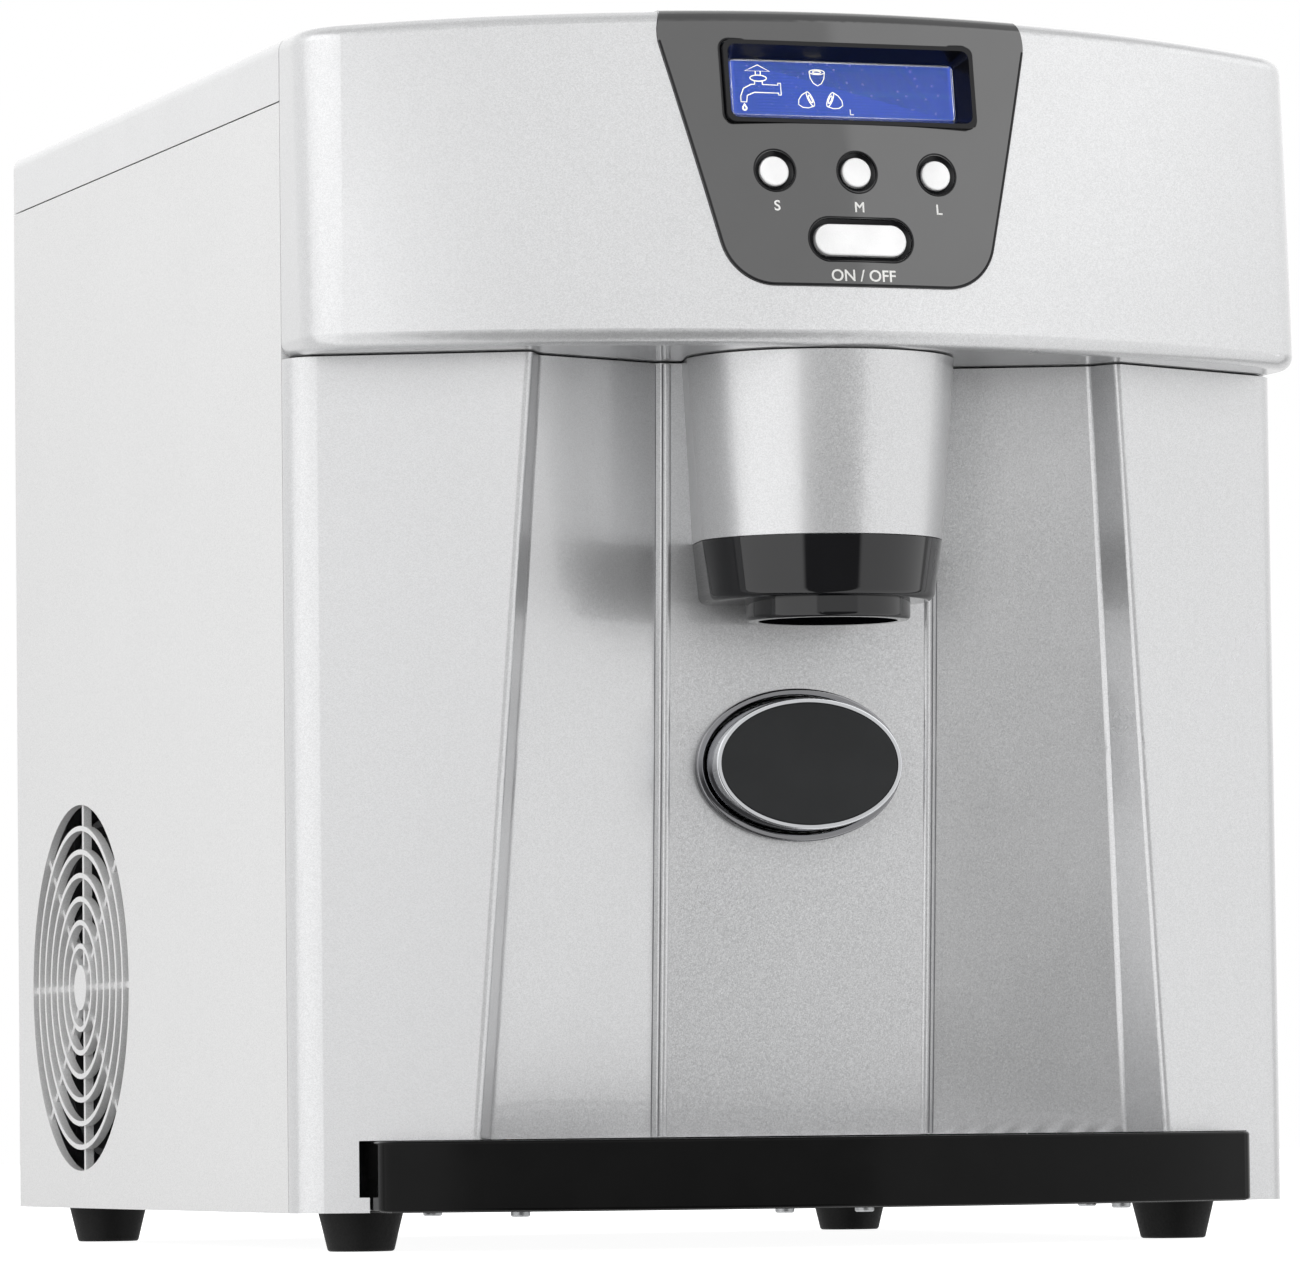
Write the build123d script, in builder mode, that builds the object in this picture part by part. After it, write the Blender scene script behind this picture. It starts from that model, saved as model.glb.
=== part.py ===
from build123d import *
import os
from math import asin, atan, cos, degrees, pi, radians, sin, sqrt, tan

# A countertop ice dispenser. Millimetres, X to the right, Y to the back, Z up from the ground.
# The origin is the middle of the bounding box's underside.

os.makedirs("parts", exist_ok=True)

# Overall sizes
body_width = 365.0
side_depth = 364.5
head_reach = 84.0
ground_gap = 13.5
head_edge_round = 5.0
head_round_loss_share = 0.11
panel_height = 380.4
cover_side_height = 22.1
crown_rise = 6.0
head_height = 110.5
wall = 3.0
head_wall = 3.6
seam_gap = 0.5
fit = 0.3
overrun = 10.0

half_width = body_width / 2
overall_depth = side_depth + head_reach - head_edge_round * head_round_loss_share
rear_y = overall_depth / 2
seam_y = rear_y - side_depth
body_bottom = ground_gap
foot_height = ground_gap
panel_top = body_bottom + panel_height
crown_side = panel_top + cover_side_height
crown_top = crown_side + crown_rise
head_bottom = crown_side - head_height
inner_half = half_width - wall
rear_inner = rear_y - wall
rear_face = rear_inner - fit
rear_back = rear_face - wall

# Front shell: two slanted pillars beside a bay whose wall leans back downwards
side_corner_reach = 9.9
side_corner_radius = 15.0
pillar_reach = 46.5
pillar_edge_top = 107.5
pillar_edge_bottom = 127.7
bay_corner_top = 101.0
bay_corner_bottom = 118.0
bay_corner_reach_top = 35.0
bay_corner_reach_bottom = 18.2
bay_edge_half = 50.4
bay_centre_reach_top = 16.0
bay_centre_reach_bottom = 0.5
bay_curve_share = 0.4
bay_step = 1.6
pillar_edge_round = 2.5
bay_corner_round = 3.0
bay_step_round = 1.2
shell_tuck = 9.0
notch_half = 163.2
notch_height = 24.4
sill_width = 3.2
sill_height = 5.2

shell_height = head_bottom - seam_gap - body_bottom
tray_top = body_bottom + notch_height

# Head housing
head_corner_radius = 20.0
head_corner_reach = 21.8
head_setback = 18.5
head_setback_curve_share = -0.36
head_corner_setback_share = 0.45
cover_corner_round = 5.0

# Control fascia
fascia_half_top = 69.6
fascia_half_bottom = 46.1
fascia_bottom_rise = 20.5
fascia_corner_round = 19.0
fascia_proud = 0.5
fascia_thickness = 2.2
fascia_wrap = 16.0
fascia_ledge = 3.5

# Display
display_rise = 91.3
display_width = 81.4
display_height = 19.6
bezel_width = 91.0
bezel_height = 29.0
bezel_depth = 8.0
bezel_corner_round = 3.0
module_rim = 3.0
module_thickness = 5.0
window_thickness = 1.0

# Buttons
size_button_radius = 5.2
size_button_hole = 7.0
size_button_pitch = 29.4
size_button_rise = 60.3
power_button_length = 33.0
power_button_height = 11.0
power_hole_length = 37.4
power_hole_height = 14.8
power_button_rise = 36.8
button_flange = 2.0
button_flange_thickness = 1.2
button_sink = 0.3
button_stem_radius = 2.0
button_travel = 0.8
board_thickness = 1.6
board_width = 112.0
board_height = 90.0
switch_size = 6.0
switch_height = 2.6
switch_plunger_radius = 1.6
switch_plunger_height = 0.8

# Top cover and lid
lid_width = 230.0
lid_length = 170.0
lid_corner_round = 14.0
lid_setback = 50.0
lid_thickness = 3.0
lid_gap = 1.6
lid_ledge = 5.0
lid_ledge_thickness = 2.0
lid_window_width = 150.0
lid_window_length = 90.0
lid_window_round = 10.0
hinge_radius = 1.1
hinge_drop = 1.2
hinge_knuckle_radius = 2.2
hinge_knuckle_length = 14.0
hinge_ear_length = 6.0
hinge_offset = 80.0
hinge_set = 2.4
hinge_rear_gap = 3.2
running_clearance = 0.05
handle_width = 60.0
handle_height = 2.0
handle_depth = 6.0

# Ice spout
spout_radius_top = 47.5
spout_radius_bottom = 42.6
spout_reach = 34.0
spout_wall = 2.5
spout_height = 63.0
spout_web_top = 41.2
spout_web_bottom = 38.2
ring_radius_bottom = 39.6
ring_web_bottom = 35.9
ring_floor = 2.5
ring_height = 21.0
ring_edge_round = 3.0
ring_crease_round = 4.0
nozzle_radius = 28.4
nozzle_bore = 24.0
nozzle_height = 7.0
nozzle_reach = 42.5
nozzle_edge_round = 1.5

# Ice chute and its door
chute_half = 27.0
chute_lift = 4.5
chute_wall = 2.5
chute_reach = 21.0
door_half = 23.5
door_length = 46.0
door_thickness = 2.0
door_pin_radius = 1.5
door_ear_radius = 3.0

# Push paddle
paddle_height = 166.3
paddle_reach = 23.0
pad_half_width = 32.6
pad_half_height = 21.3
pad_thickness = 2.4
rim_half_width = 34.2
rim_half_height = 22.9
rim_back_growth = 0.9
rim_depth = 15.0
rim_wall = 1.8
paddle_bezel_lip = 2.4
paddle_gap = 0.4
paddle_bezel_height = 2.6
paddle_travel = 6.0
plunger_radius = 4.0
plunger_length = 40.0
plunger_disc_thickness = 3.0
guide_set = 5.0
guide_shelf = 30.0
guide_thickness = 3.0
guide_half_height = 31.0
guide_bush_radius = 7.0
guide_bush_length = 8.0
spring_radius = 6.4
spring_wire = 0.6
spring_turns = 6
micro_switch_length = 20.0
micro_switch_width = 6.4
micro_switch_height = 10.0

# Drip tray and grate
tray_half = 159.4
tray_reach = 78.0
tray_end_reach = 34.0
tray_corner_round = 9.0
tray_back = 2.0
tray_skirt_end = 9.0
tray_wall = 2.5
tray_floor = 2.5
tray_edge_round = 1.0
grate_thickness = 2.5
grate_drop = 1.0
grate_slot_width = 5.0
grate_slot_pitch = 9.0
grate_border = 9.0
grate_ledge = 2.5

# Base pan, feet and screws
base_thickness = 2.5
base_rim_height = 9.0
base_inset = 0.6
foot_bottom_radius = 11.4
foot_top_radius = 14.7
foot_edge_round = 1.2
foot_bore_radius = 4.5
foot_bore_depth = 7.0
foot_side_inset = 31.6
foot_front_set = 19.5
foot_rear_inset = 15.5
screw_head_radius = 3.3
screw_head_height = 1.9
screw_radius = 1.5
screw_length = 6.0
pan_screw_length = 2.2
front_screw_x = 110.0
front_screw_reach = 32.0
middle_screw_x = 14.6
second_screw_inset = 60.5
second_screw_set = 29.0

# Fan grille in the left side panel
grille_rear_set = 94.2
grille_height = 95.3
grille_radius = 68.0
grille_ring_width = 1.9
grille_ring_pitch = 8.75
grille_ring_count = 6
grille_hub_radius = 8.4
grille_spoke_count = 8
grille_spoke_width = 2.4
grille_spoke_depth = 3.0

# Vents and rear panel
vent_slot_length = 70.0
vent_slot_height = 3.5
vent_pitch = 8.5
vent_rows = 12
rear_return = 16.0
rear_corner_round = 5.0
inlet_width = 27.6
inlet_height = 20.0
inlet_flange = 4.0
inlet_depth = 24.0
inlet_wall = 1.6
inlet_pin_radius = 1.6
inlet_set = 70.0
inlet_rise = 40.0
drain_set = -60.0
drain_condenser_gap = 6.0
drain_rise = 36.0
drain_radius = 9.0
drain_bore = 5.0
drain_length = 12.0
drain_cap_radius = 13.0
drain_cap_length = 12.0
drain_cap_wall = 1.6

# Inner support frame
deck_height = 196.0
deck_thickness = 2.0
deck_side_gap = 13.5
deck_front = 8.0
deck_rear_gap = 8.0
leg_width = 12.0
leg_thickness = 2.0

# Ice bin, auger and motor
bin_half = 98.0
bin_front = 5.0
bin_tank_gap = 41.0
bin_height = 130.0
bin_wall = 3.0
trough_radius = 25.0
auger_radius = 19.5
auger_wire_radius = 2.5
auger_shaft_radius = 5.0
auger_turns = 4
gear_motor_width = 44.0
gear_motor_depth = 30.0
gear_motor_height = 44.0

# Ice maker
tank_half = 71.0
tank_rear_gap = 12.2
tank_length = 140.0
tank_height = 56.0
tank_wall = 2.0
bracket_half = 76.0
bracket_thickness = 2.0
bracket_tank_lead = 2.0
bracket_length = 112.0
bracket_cover_gap = 7.9
bracket_window_share = 0.5
evaporator_half = 56.0
evaporator_tube_radius = 5.0
evaporator_row_gap = 34.0
finger_radius = 4.5
finger_length = 34.0
finger_columns = 4
finger_pitch = 30.0
freezing_tray_half = 70.0
freezing_tray_inset = 4.0
freezing_tray_length = 92.0
freezing_tray_height = 40.0
freezing_tray_wall = 2.0
trunnion_radius = 3.0
trunnion_rear_gap = 12.0
trunnion_drop = 19.0
tilt_motor_width = 24.0
tilt_motor_depth = 30.0
tilt_motor_height = 34.0

# Pumps and hoses
pump_radius = 19.0
pump_height = 34.0
pump_bin_gap = 8.0
pump_pitch = 55.0
fill_hose_lead = 14.0
pump_port_radius = 4.0
pump_port_length = 8.0
hose_radius = 4.0
hose_bore = 2.6
hose_bend = 12.0
hose_gap = 2.0

# Compressor, condenser, fan and tubes
compressor_side_gap = 26.5
compressor_rear_gap = 41.2
compressor_radius = 48.0
compressor_height = 128.0
compressor_dome = 22.0
compressor_port_reach = 15.0
compressor_plate = 110.0
compressor_plate_thickness = 3.0
mount_radius = 9.0
mount_height = 10.0
mount_inset = 12.0
condenser_side_gap = 63.5
condenser_depth = 36.0
condenser_rear_gap = 18.2
condenser_length = 140.0
condenser_height = 140.0
condenser_fin = 0.8
condenser_fin_pitch = 6.0
condenser_tube_radius = 3.5
condenser_tube_rows = 5
fan_radius = 57.0
fan_hub_radius = 17.0
fan_hub_depth = 16.0
fan_blade_count = 7
fan_blade_thickness = 1.8
fan_blade_angle = 32.0
fan_gap = 6.0
fan_motor_radius = 21.0
fan_motor_length = 26.0
shroud_clearance = 3.0
shroud_wall = 2.5
shroud_plate = 2.0
shroud_arm = 14.0
copper_radius = 3.0
copper_bend = 10.0
drier_radius = 9.0
drier_length = 60.0
drier_taper = 8.0

# Power board and wiring
power_board_side_gap = 16.5
power_board_set = 75.0
power_board_width = 90.0
power_board_length = 110.0
power_board_rise = 8.0
standoff_radius = 3.0
harness_radius = 3.0
harness_bend = 14.0


def mix(low, high, share):
    return low + (high - low) * share


def export(part, name):
    part.label = name
    export_step(part, f"parts/{name}.step")


def mirrored(points):
    """The right half of an outline from the outside inwards, followed by its mirror image."""
    return points + [(-x, y) for x, y in reversed(points)]


def inset_outline(points, distance):
    """Move each side of a closed outline inwards, for an outline drawn clockwise seen from above."""
    count = len(points)
    moved = []
    for index in range(count):
        before = Vector(*points[index - 1])
        here = Vector(*points[index])
        after = Vector(*points[(index + 1) % count])
        first = (here - before).normalized()
        second = (after - here).normalized()
        first_normal = Vector(first.Y, -first.X)
        second_normal = Vector(second.Y, -second.X)
        miter = (first_normal + second_normal) / (1 + first_normal.dot(second_normal))
        corner = here + miter * distance
        moved.append((corner.X, corner.Y))
    return moved


# Outline of the front shell

pillar_slope = (pillar_reach - side_corner_reach) / (half_width - pillar_edge_top)


def bay_line(top, bottom, share):
    return mix(bottom, top, share + bay_curve_share * share * (1 - share))


def shell_outline(height, inset=0.0):
    """Plan of the front shell at a height, from the right rear corner round the front to the left."""
    share = (height - body_bottom) / shell_height
    edge_x = mix(pillar_edge_bottom, pillar_edge_top, share)
    edge_y = seam_y - side_corner_reach - pillar_slope * (half_width - edge_x)
    corner_x = mix(bay_corner_bottom, bay_corner_top, share)
    corner_y = seam_y - bay_line(bay_corner_reach_top, bay_corner_reach_bottom, share)
    centre_y = seam_y - bay_line(bay_centre_reach_top, bay_centre_reach_bottom, share)
    right = [
        (half_width, seam_y + shell_tuck + 2 * inset),
        (half_width, seam_y - side_corner_reach),
        (edge_x, edge_y),
        (corner_x, corner_y),
        (bay_edge_half + bay_step, centre_y + bay_step),
        (bay_edge_half, centre_y),
    ]
    points = mirrored(right)
    return inset_outline(points, inset) if inset else points


def bay_wall_y(height):
    """Front face of the bay's centre panel."""
    return shell_outline(height)[5][1]


def shell_form(inset):
    """The front shell as a full block, or its hollow when inset."""
    extra = overrun if inset else 0
    heights = [
        body_bottom - extra,
        body_bottom + shell_height / 2,
        body_bottom + shell_height + extra,
    ]
    with BuildPart() as form:
        for height in heights:
            with BuildSketch(Plane.XY.offset(height)) as section:
                with BuildLine():
                    Polyline(*shell_outline(height, inset), close=True)
                make_face()
                corners = section.vertices()
                outer = [v for v in corners if abs(abs(v.X) - half_width + inset) < fit and v.Y < seam_y]
                fillet(outer, side_corner_radius - inset)
                if not inset:
                    points = shell_outline(height)
                    rounds = [(2, pillar_edge_round), (3, bay_corner_round), (5, bay_step_round)]
                    for place, radius in rounds:
                        spot = points[place]
                        near = [
                            v for v in section.vertices()
                            if abs(abs(v.X) - spot[0]) < fit and abs(v.Y - spot[1]) < fit
                        ]
                        fillet(near, radius)
        loft()
    return form.part


# Outline of the head housing

def head_share(height):
    return (height - head_bottom) / (crown_top - head_bottom)


def head_front(height):
    """How far the middle of the head's front lies behind its lowest edge."""
    share = head_share(height)
    return head_setback * (share + head_setback_curve_share * share * (1 - share))


def head_front_y(height):
    return seam_y - head_reach + head_front(height)


def head_bow_radius(height, inset=0.0):
    apex = head_front_y(height) + inset
    corner_y = seam_y - head_corner_reach + head_corner_setback_share * head_front(height)
    radius = head_corner_radius - inset
    across = half_width - head_corner_radius
    rise = corner_y - apex
    return (across**2 + rise**2 - radius**2) / (2 * (rise - radius))


def head_form(inset, rear_extra=0.0):
    """The head as a full block with a crowned top, inset all round by a distance."""
    low = head_bottom + inset
    heights = [low, (low + crown_top) / 2, crown_top + overrun]
    rear = seam_y - seam_gap / 2 + rear_extra
    side = half_width - inset
    with BuildPart() as form:
        for height in heights:
            apex = head_front_y(height) + inset
            corner_y = seam_y - head_corner_reach + head_corner_setback_share * head_front(height)
            bow = head_bow_radius(height, inset)
            radius = head_corner_radius - inset
            centre = (half_width - head_corner_radius, corner_y)
            turn = asin(centre[0] / (bow - radius))
            meet = (centre[0] + radius * sin(turn), centre[1] - radius * cos(turn))
            middle = (pi / 2 + turn) / 2
            corner = (centre[0] + radius * sin(middle), centre[1] - radius * cos(middle))
            with BuildSketch(Plane.XY.offset(height)):
                with BuildLine():
                    Line((-side, rear), (side, rear))
                    Line((side, rear), (side, corner_y))
                    ThreePointArc((side, corner_y), corner, meet)
                    ThreePointArc(meet, (0, apex), (-meet[0], meet[1]))
                    ThreePointArc((-meet[0], meet[1]), (-corner[0], corner[1]), (-side, corner_y))
                    Line((-side, corner_y), (-side, rear))
                make_face()
        loft()
        with BuildSketch(Plane.XZ.offset(overall_depth)):
            with BuildLine():
                Line((-side, low - overrun), (side, low - overrun))
                Line((side, low - overrun), (side, crown_side - inset))
                ThreePointArc((side, crown_side - inset), (0, crown_top - inset), (-side, crown_side - inset))
                Line((-side, crown_side - inset), (-side, low - overrun))
            make_face()
        extrude(amount=-2 * overall_depth, mode=Mode.INTERSECT)
        round_size = head_edge_round - inset
        if round_size > fit:
            rims = [
                e for e in form.edges()
                if e.center().Y < rear - fit and (
                    (e.bounding_box().max.Z - e.bounding_box().min.Z < crown_rise + fit)
                    and (e.center().Z < low + fit or e.center().Z > panel_top)
                )
            ]
            fillet(rims, round_size)
    return form.part


# Base of the housing

base_bottom = foot_height
base_top = base_bottom + base_thickness
base_half = inner_half - base_inset
base_rear = rear_back - base_inset
base_tray_half = tray_half - tray_wall - 2 * fit
base_tray_reach = tray_reach - tray_wall - 2 * fit
base_shoulder_y = seam_y - tray_skirt_end + tray_wall
foot_x = half_width - foot_side_inset
foot_front_y = seam_y + foot_front_set
foot_rear_y = rear_y - foot_rear_inset
foot_places = [(x, y) for x in (-foot_x, foot_x) for y in (foot_front_y, foot_rear_y)]
front_screw_y = seam_y - front_screw_reach
second_screw_x = half_width - second_screw_inset
second_screw_y = seam_y + second_screw_set
pan_screw_places = [
    (sign * x, y)
    for sign in (-1, 1)
    for x, y in (
        (front_screw_x, front_screw_y),
        (middle_screw_x, front_screw_y),
        (second_screw_x, second_screw_y),
        (second_screw_x, foot_rear_y),
    )
]


def bowed_front(half, side_reach, front_reach, rear, height, corner_round):
    """A plan face with straight sides and a bowed front, drawn at a height."""
    with BuildSketch(Plane.XY.offset(height)) as face:
        with BuildLine():
            Line((-half, seam_y - side_reach), (-half, rear))
            Line((-half, rear), (half, rear))
            Line((half, rear), (half, seam_y - side_reach))
            front_y = seam_y - side_reach
            ThreePointArc((half, front_y), (0, seam_y - front_reach), (-half, front_y))
        make_face()
        if corner_round > 0:
            fillet([v for v in face.vertices() if v.Y < rear - fit], corner_round)
    return face.sketch


with BuildPart() as base_pan:
    with BuildSketch(Plane.XY.offset(base_bottom)):
        with BuildLine():
            Polyline(
                (-base_tray_half, seam_y - tray_end_reach), (-base_tray_half, base_shoulder_y),
                (-foot_x - foot_top_radius, base_shoulder_y), (-base_half, seam_y + seam_gap),
                (-base_half, base_rear), (base_half, base_rear), (base_half, seam_y + seam_gap),
                (foot_x + foot_top_radius, base_shoulder_y), (base_tray_half, base_shoulder_y),
                (base_tray_half, seam_y - tray_end_reach),
            )
            ThreePointArc(
                (base_tray_half, seam_y - tray_end_reach),
                (0, seam_y - base_tray_reach),
                (-base_tray_half, seam_y - tray_end_reach),
            )
        make_face()
    extrude(amount=base_thickness)
    rim_length = base_rear - (foot_front_y + foot_top_radius)
    with BuildSketch(Plane.XY.offset(base_top)):
        with Locations((0, base_rear - rim_length / 2)):
            Rectangle(2 * base_half, rim_length)
            Rectangle(2 * (base_half - wall), rim_length + overrun, mode=Mode.SUBTRACT)
        with Locations((0, base_rear - wall / 2)):
            Rectangle(2 * base_half, wall)
    extrude(amount=base_rim_height)
    with BuildSketch(Plane.XY.offset(base_bottom)):
        with Locations(*foot_places, *pan_screw_places):
            Circle(screw_radius + running_clearance)
    extrude(amount=base_thickness, mode=Mode.SUBTRACT)
export(base_pan.part, "base_pan")

with BuildPart() as feet:
    for place in foot_places:
        with BuildSketch(Plane.XY):
            with Locations(place):
                Circle(foot_bottom_radius)
        with BuildSketch(Plane.XY.offset(foot_height)):
            with Locations(place):
                Circle(foot_top_radius)
        loft(clean=False)
    rims = [e for e in feet.edges() if e.center().Z < fit]
    fillet(rims, foot_edge_round)
    with BuildSketch(Plane.XY):
        with Locations(*foot_places):
            Circle(foot_bore_radius)
    extrude(amount=foot_bore_depth, mode=Mode.SUBTRACT)
    with BuildSketch(Plane.XY):
        with Locations(*foot_places):
            Circle(screw_radius + running_clearance)
    extrude(amount=foot_height, mode=Mode.SUBTRACT)
export(feet.part, "feet")

with BuildPart() as base_screws:
    with BuildSketch(Plane.XY.offset(foot_bore_depth - screw_head_height)):
        with Locations(*foot_places):
            Circle(screw_head_radius)
    extrude(amount=screw_head_height)
    with BuildSketch(Plane.XY.offset(foot_bore_depth)):
        with Locations(*foot_places):
            Circle(screw_radius)
    extrude(amount=base_top - foot_bore_depth)
    with BuildSketch(Plane.XY.offset(base_bottom - screw_head_height)):
        with Locations(*pan_screw_places):
            Circle(screw_head_radius)
    extrude(amount=screw_head_height)
    with BuildSketch(Plane.XY.offset(base_bottom)):
        with Locations(*pan_screw_places):
            Circle(screw_radius)
    extrude(amount=pan_screw_length)
    chamfer([e for e in base_screws.edges().filter_by(GeomType.CIRCLE)
             if e.radius > screw_radius + fit and (
                 abs(e.center().Z - base_bottom + screw_head_height) < fit
                 or abs(e.center().Z - foot_bore_depth + screw_head_height) < fit)], screw_head_height / 4)
export(base_screws.part, "base_screws")


# Side, rear and front panels

def side_panel_block(side):
    """A side panel with its rounded return on the rear, on the side of the sign given."""
    with BuildPart() as block:
        with BuildSketch(Plane.XY.offset(body_bottom)) as plan:
            with BuildLine():
                Polyline(
                    (side * half_width, seam_y + seam_gap / 2), (side * half_width, rear_y),
                    (side * (half_width - rear_return), rear_y),
                    (side * (half_width - rear_return), rear_inner),
                    (side * inner_half, rear_inner), (side * inner_half, seam_y + seam_gap / 2),
                    close=True,
                )
            make_face()
            outer = [v for v in plan.vertices() if abs(v.X) > inner_half + fit and v.Y > rear_inner + fit]
            fillet(outer, rear_corner_round)
            inner = [
                v for v in plan.vertices()
                if abs(abs(v.X) - inner_half) < fit / 2 and abs(v.Y - rear_inner) < fit / 2
            ]
            fillet(inner, rear_corner_round - wall)
        extrude(amount=panel_height - seam_gap / 2)
    return block.part


grille_y = rear_y - grille_rear_set
with BuildPart() as left_side_panel:
    add(side_panel_block(-1))
    with BuildSketch(Plane.YZ.offset(-half_width - overrun)):
        with Locations((grille_y, grille_height)):
            Circle(grille_radius)
    extrude(amount=wall + 2 * overrun, mode=Mode.SUBTRACT)
    with BuildSketch(Plane.YZ.offset(-inner_half - wall / 2)):
        with Locations((grille_y, grille_height)):
            with PolarLocations(0, grille_spoke_count // 2, angular_range=180):
                Rectangle(2 * grille_radius + wall, grille_spoke_width)
    extrude(amount=grille_spoke_depth)
    for ring in range(grille_ring_count):
        ring_radius = grille_radius - grille_ring_pitch * (ring + 1) + grille_ring_width / 2
        with BuildSketch(Plane.YZ.offset(-half_width)):
            with Locations((grille_y, grille_height)):
                Circle(ring_radius)
                Circle(ring_radius - grille_ring_width, mode=Mode.SUBTRACT)
        extrude(amount=wall)
    with BuildSketch(Plane.YZ.offset(-half_width)):
        with Locations((grille_y, grille_height)):
            Circle(grille_hub_radius)
    extrude(amount=wall)
export(left_side_panel.part, "left_side_panel")

with BuildPart() as right_side_panel:
    add(side_panel_block(1))
    vent_height = base_top + base_rim_height + vent_pitch + vent_rows * vent_pitch / 2
    with BuildSketch(Plane.YZ.offset(inner_half - overrun)):
        with Locations((grille_y, vent_height)):
            with GridLocations(vent_slot_length + vent_pitch, vent_pitch, 2, vent_rows):
                SlotOverall(vent_slot_length, vent_slot_height)
    extrude(amount=wall + 2 * overrun, mode=Mode.SUBTRACT)
export(right_side_panel.part, "right_side_panel")

rear_half = inner_half - fit - (rear_corner_round - wall)
rear_window_half = half_width - rear_return
inlet_x = inlet_set
inlet_z = body_bottom + inlet_rise
condenser_x = -inner_half + condenser_side_gap + condenser_depth / 2
drain_x = max(drain_set, condenser_x + condenser_depth / 2 + hose_radius + drain_condenser_gap)
drain_z = body_bottom + drain_rise
rear_screw_places = [
    (sign * (rear_window_half - 2 * screw_head_radius), height)
    for sign in (-1, 1)
    for height in (
        body_bottom + 5 * screw_head_radius,
        body_bottom + panel_height / 2,
        panel_top - 5 * screw_head_radius,
    )
]
with BuildPart() as rear_panel:
    with BuildSketch(Plane.XZ.offset(-rear_face)):
        with Locations((0, body_bottom + (panel_height - seam_gap / 2) / 2)):
            Rectangle(2 * rear_half, panel_height - seam_gap / 2)
    extrude(amount=wall)
    with BuildSketch(Plane.XZ.offset(-rear_face - overrun)):
        with Locations((0, panel_top - vent_rows * vent_pitch / 2 - 3 * vent_pitch)):
            with GridLocations(vent_slot_length + vent_pitch, vent_pitch, 3, vent_rows // 2):
                SlotOverall(vent_slot_length, vent_slot_height)
        with Locations((0, vent_height + vent_pitch)):
            with GridLocations(vent_slot_length + vent_pitch, vent_pitch, 1, vent_rows):
                SlotOverall(vent_slot_length, vent_slot_height)
        with Locations((inlet_x, inlet_z)):
            Rectangle(inlet_width + 2 * fit, inlet_height + 2 * fit)
        with Locations((drain_x, drain_z)):
            Circle(drain_bore)
        with Locations(*rear_screw_places):
            Circle(screw_radius + running_clearance)
    extrude(amount=2 * overrun + wall, mode=Mode.SUBTRACT)
    with BuildSketch(Plane.XZ.offset(-rear_back)):
        with Locations((drain_x, drain_z)):
            Circle(drain_radius)
            Circle(drain_bore, mode=Mode.SUBTRACT)
    extrude(amount=drain_length)
export(rear_panel.part, "rear_panel")

with BuildPart() as rear_screws:
    with BuildSketch(Plane.XZ.offset(-rear_face - screw_head_height)):
        with Locations(*rear_screw_places):
            Circle(screw_head_radius)
    extrude(amount=screw_head_height)
    with BuildSketch(Plane.XZ.offset(-rear_face)):
        with Locations(*rear_screw_places):
            Circle(screw_radius)
    extrude(amount=screw_length)
    fillet([e for e in rear_screws.edges().filter_by(GeomType.CIRCLE)
            if e.center().Y > rear_face + screw_head_height / 2], screw_head_height / 3)
export(rear_screws.part, "rear_screws")

with BuildPart() as power_inlet:
    with BuildSketch(Plane.XZ.offset(-rear_face)):
        with Locations((inlet_x, inlet_z)):
            Rectangle(inlet_width, inlet_height)
    extrude(amount=inlet_depth)
    with BuildSketch(Plane.XZ.offset(-rear_face)):
        with Locations((inlet_x, inlet_z)):
            RectangleRounded(
                inlet_width + 2 * inlet_flange, inlet_height + 2 * inlet_flange, inlet_flange / 2,
            )
    extrude(amount=-inlet_wall)
    with BuildSketch(Plane.XZ.offset(-rear_face - inlet_wall)):
        with Locations((inlet_x, inlet_z)):
            RectangleRounded(inlet_width - 2 * inlet_wall, inlet_height - 2 * inlet_wall, inlet_flange / 2)
    extrude(amount=inlet_depth - inlet_wall, mode=Mode.SUBTRACT)
    with BuildSketch(Plane.XZ.offset(-rear_face + inlet_depth - inlet_wall)):
        with Locations((inlet_x, inlet_z)):
            pin_x = inlet_width / 4
            pin_z = inlet_height / 8
            with Locations((-pin_x, -pin_z), (0, pin_z), (pin_x, -pin_z)):
                Circle(inlet_pin_radius)
    extrude(amount=-(inlet_depth * 2 / 3))
export(power_inlet.part, "power_inlet")

with BuildPart() as drain_cap:
    with BuildSketch(Plane.XZ.offset(-rear_face - fit)):
        with Locations((drain_x, drain_z)):
            RegularPolygon(drain_cap_radius, 12)
    extrude(amount=-(wall - fit))
    with BuildSketch(Plane.XZ.offset(-rear_face - fit)):
        with Locations((drain_x, drain_z)):
            Circle(drain_bore - running_clearance)
    extrude(amount=drain_cap_length - drain_cap_wall)
export(drain_cap.part, "drain_cap")


# Spout sizes shared with the front shell

spout_top = head_bottom - seam_gap
spout_bottom = head_bottom - spout_height
ring_top = spout_bottom - fit
ring_bottom = spout_bottom - ring_height
nozzle_bottom = ring_bottom - nozzle_height
spout_y = seam_y - spout_reach
nozzle_y = seam_y - nozzle_reach
chute_low = ring_bottom + chute_lift
auger_z = chute_low + chute_half
chute_top = chute_low + 2 * chute_half
hose_x = -(chute_half + hose_radius + hose_gap)
hose_z = chute_top + 2 * hose_radius + fit
paddle_y = seam_y - paddle_reach
rim_back_half_width = rim_half_width + rim_back_growth
rim_back_half_height = rim_half_height + rim_back_growth

full_shell = shell_form(0)

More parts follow.
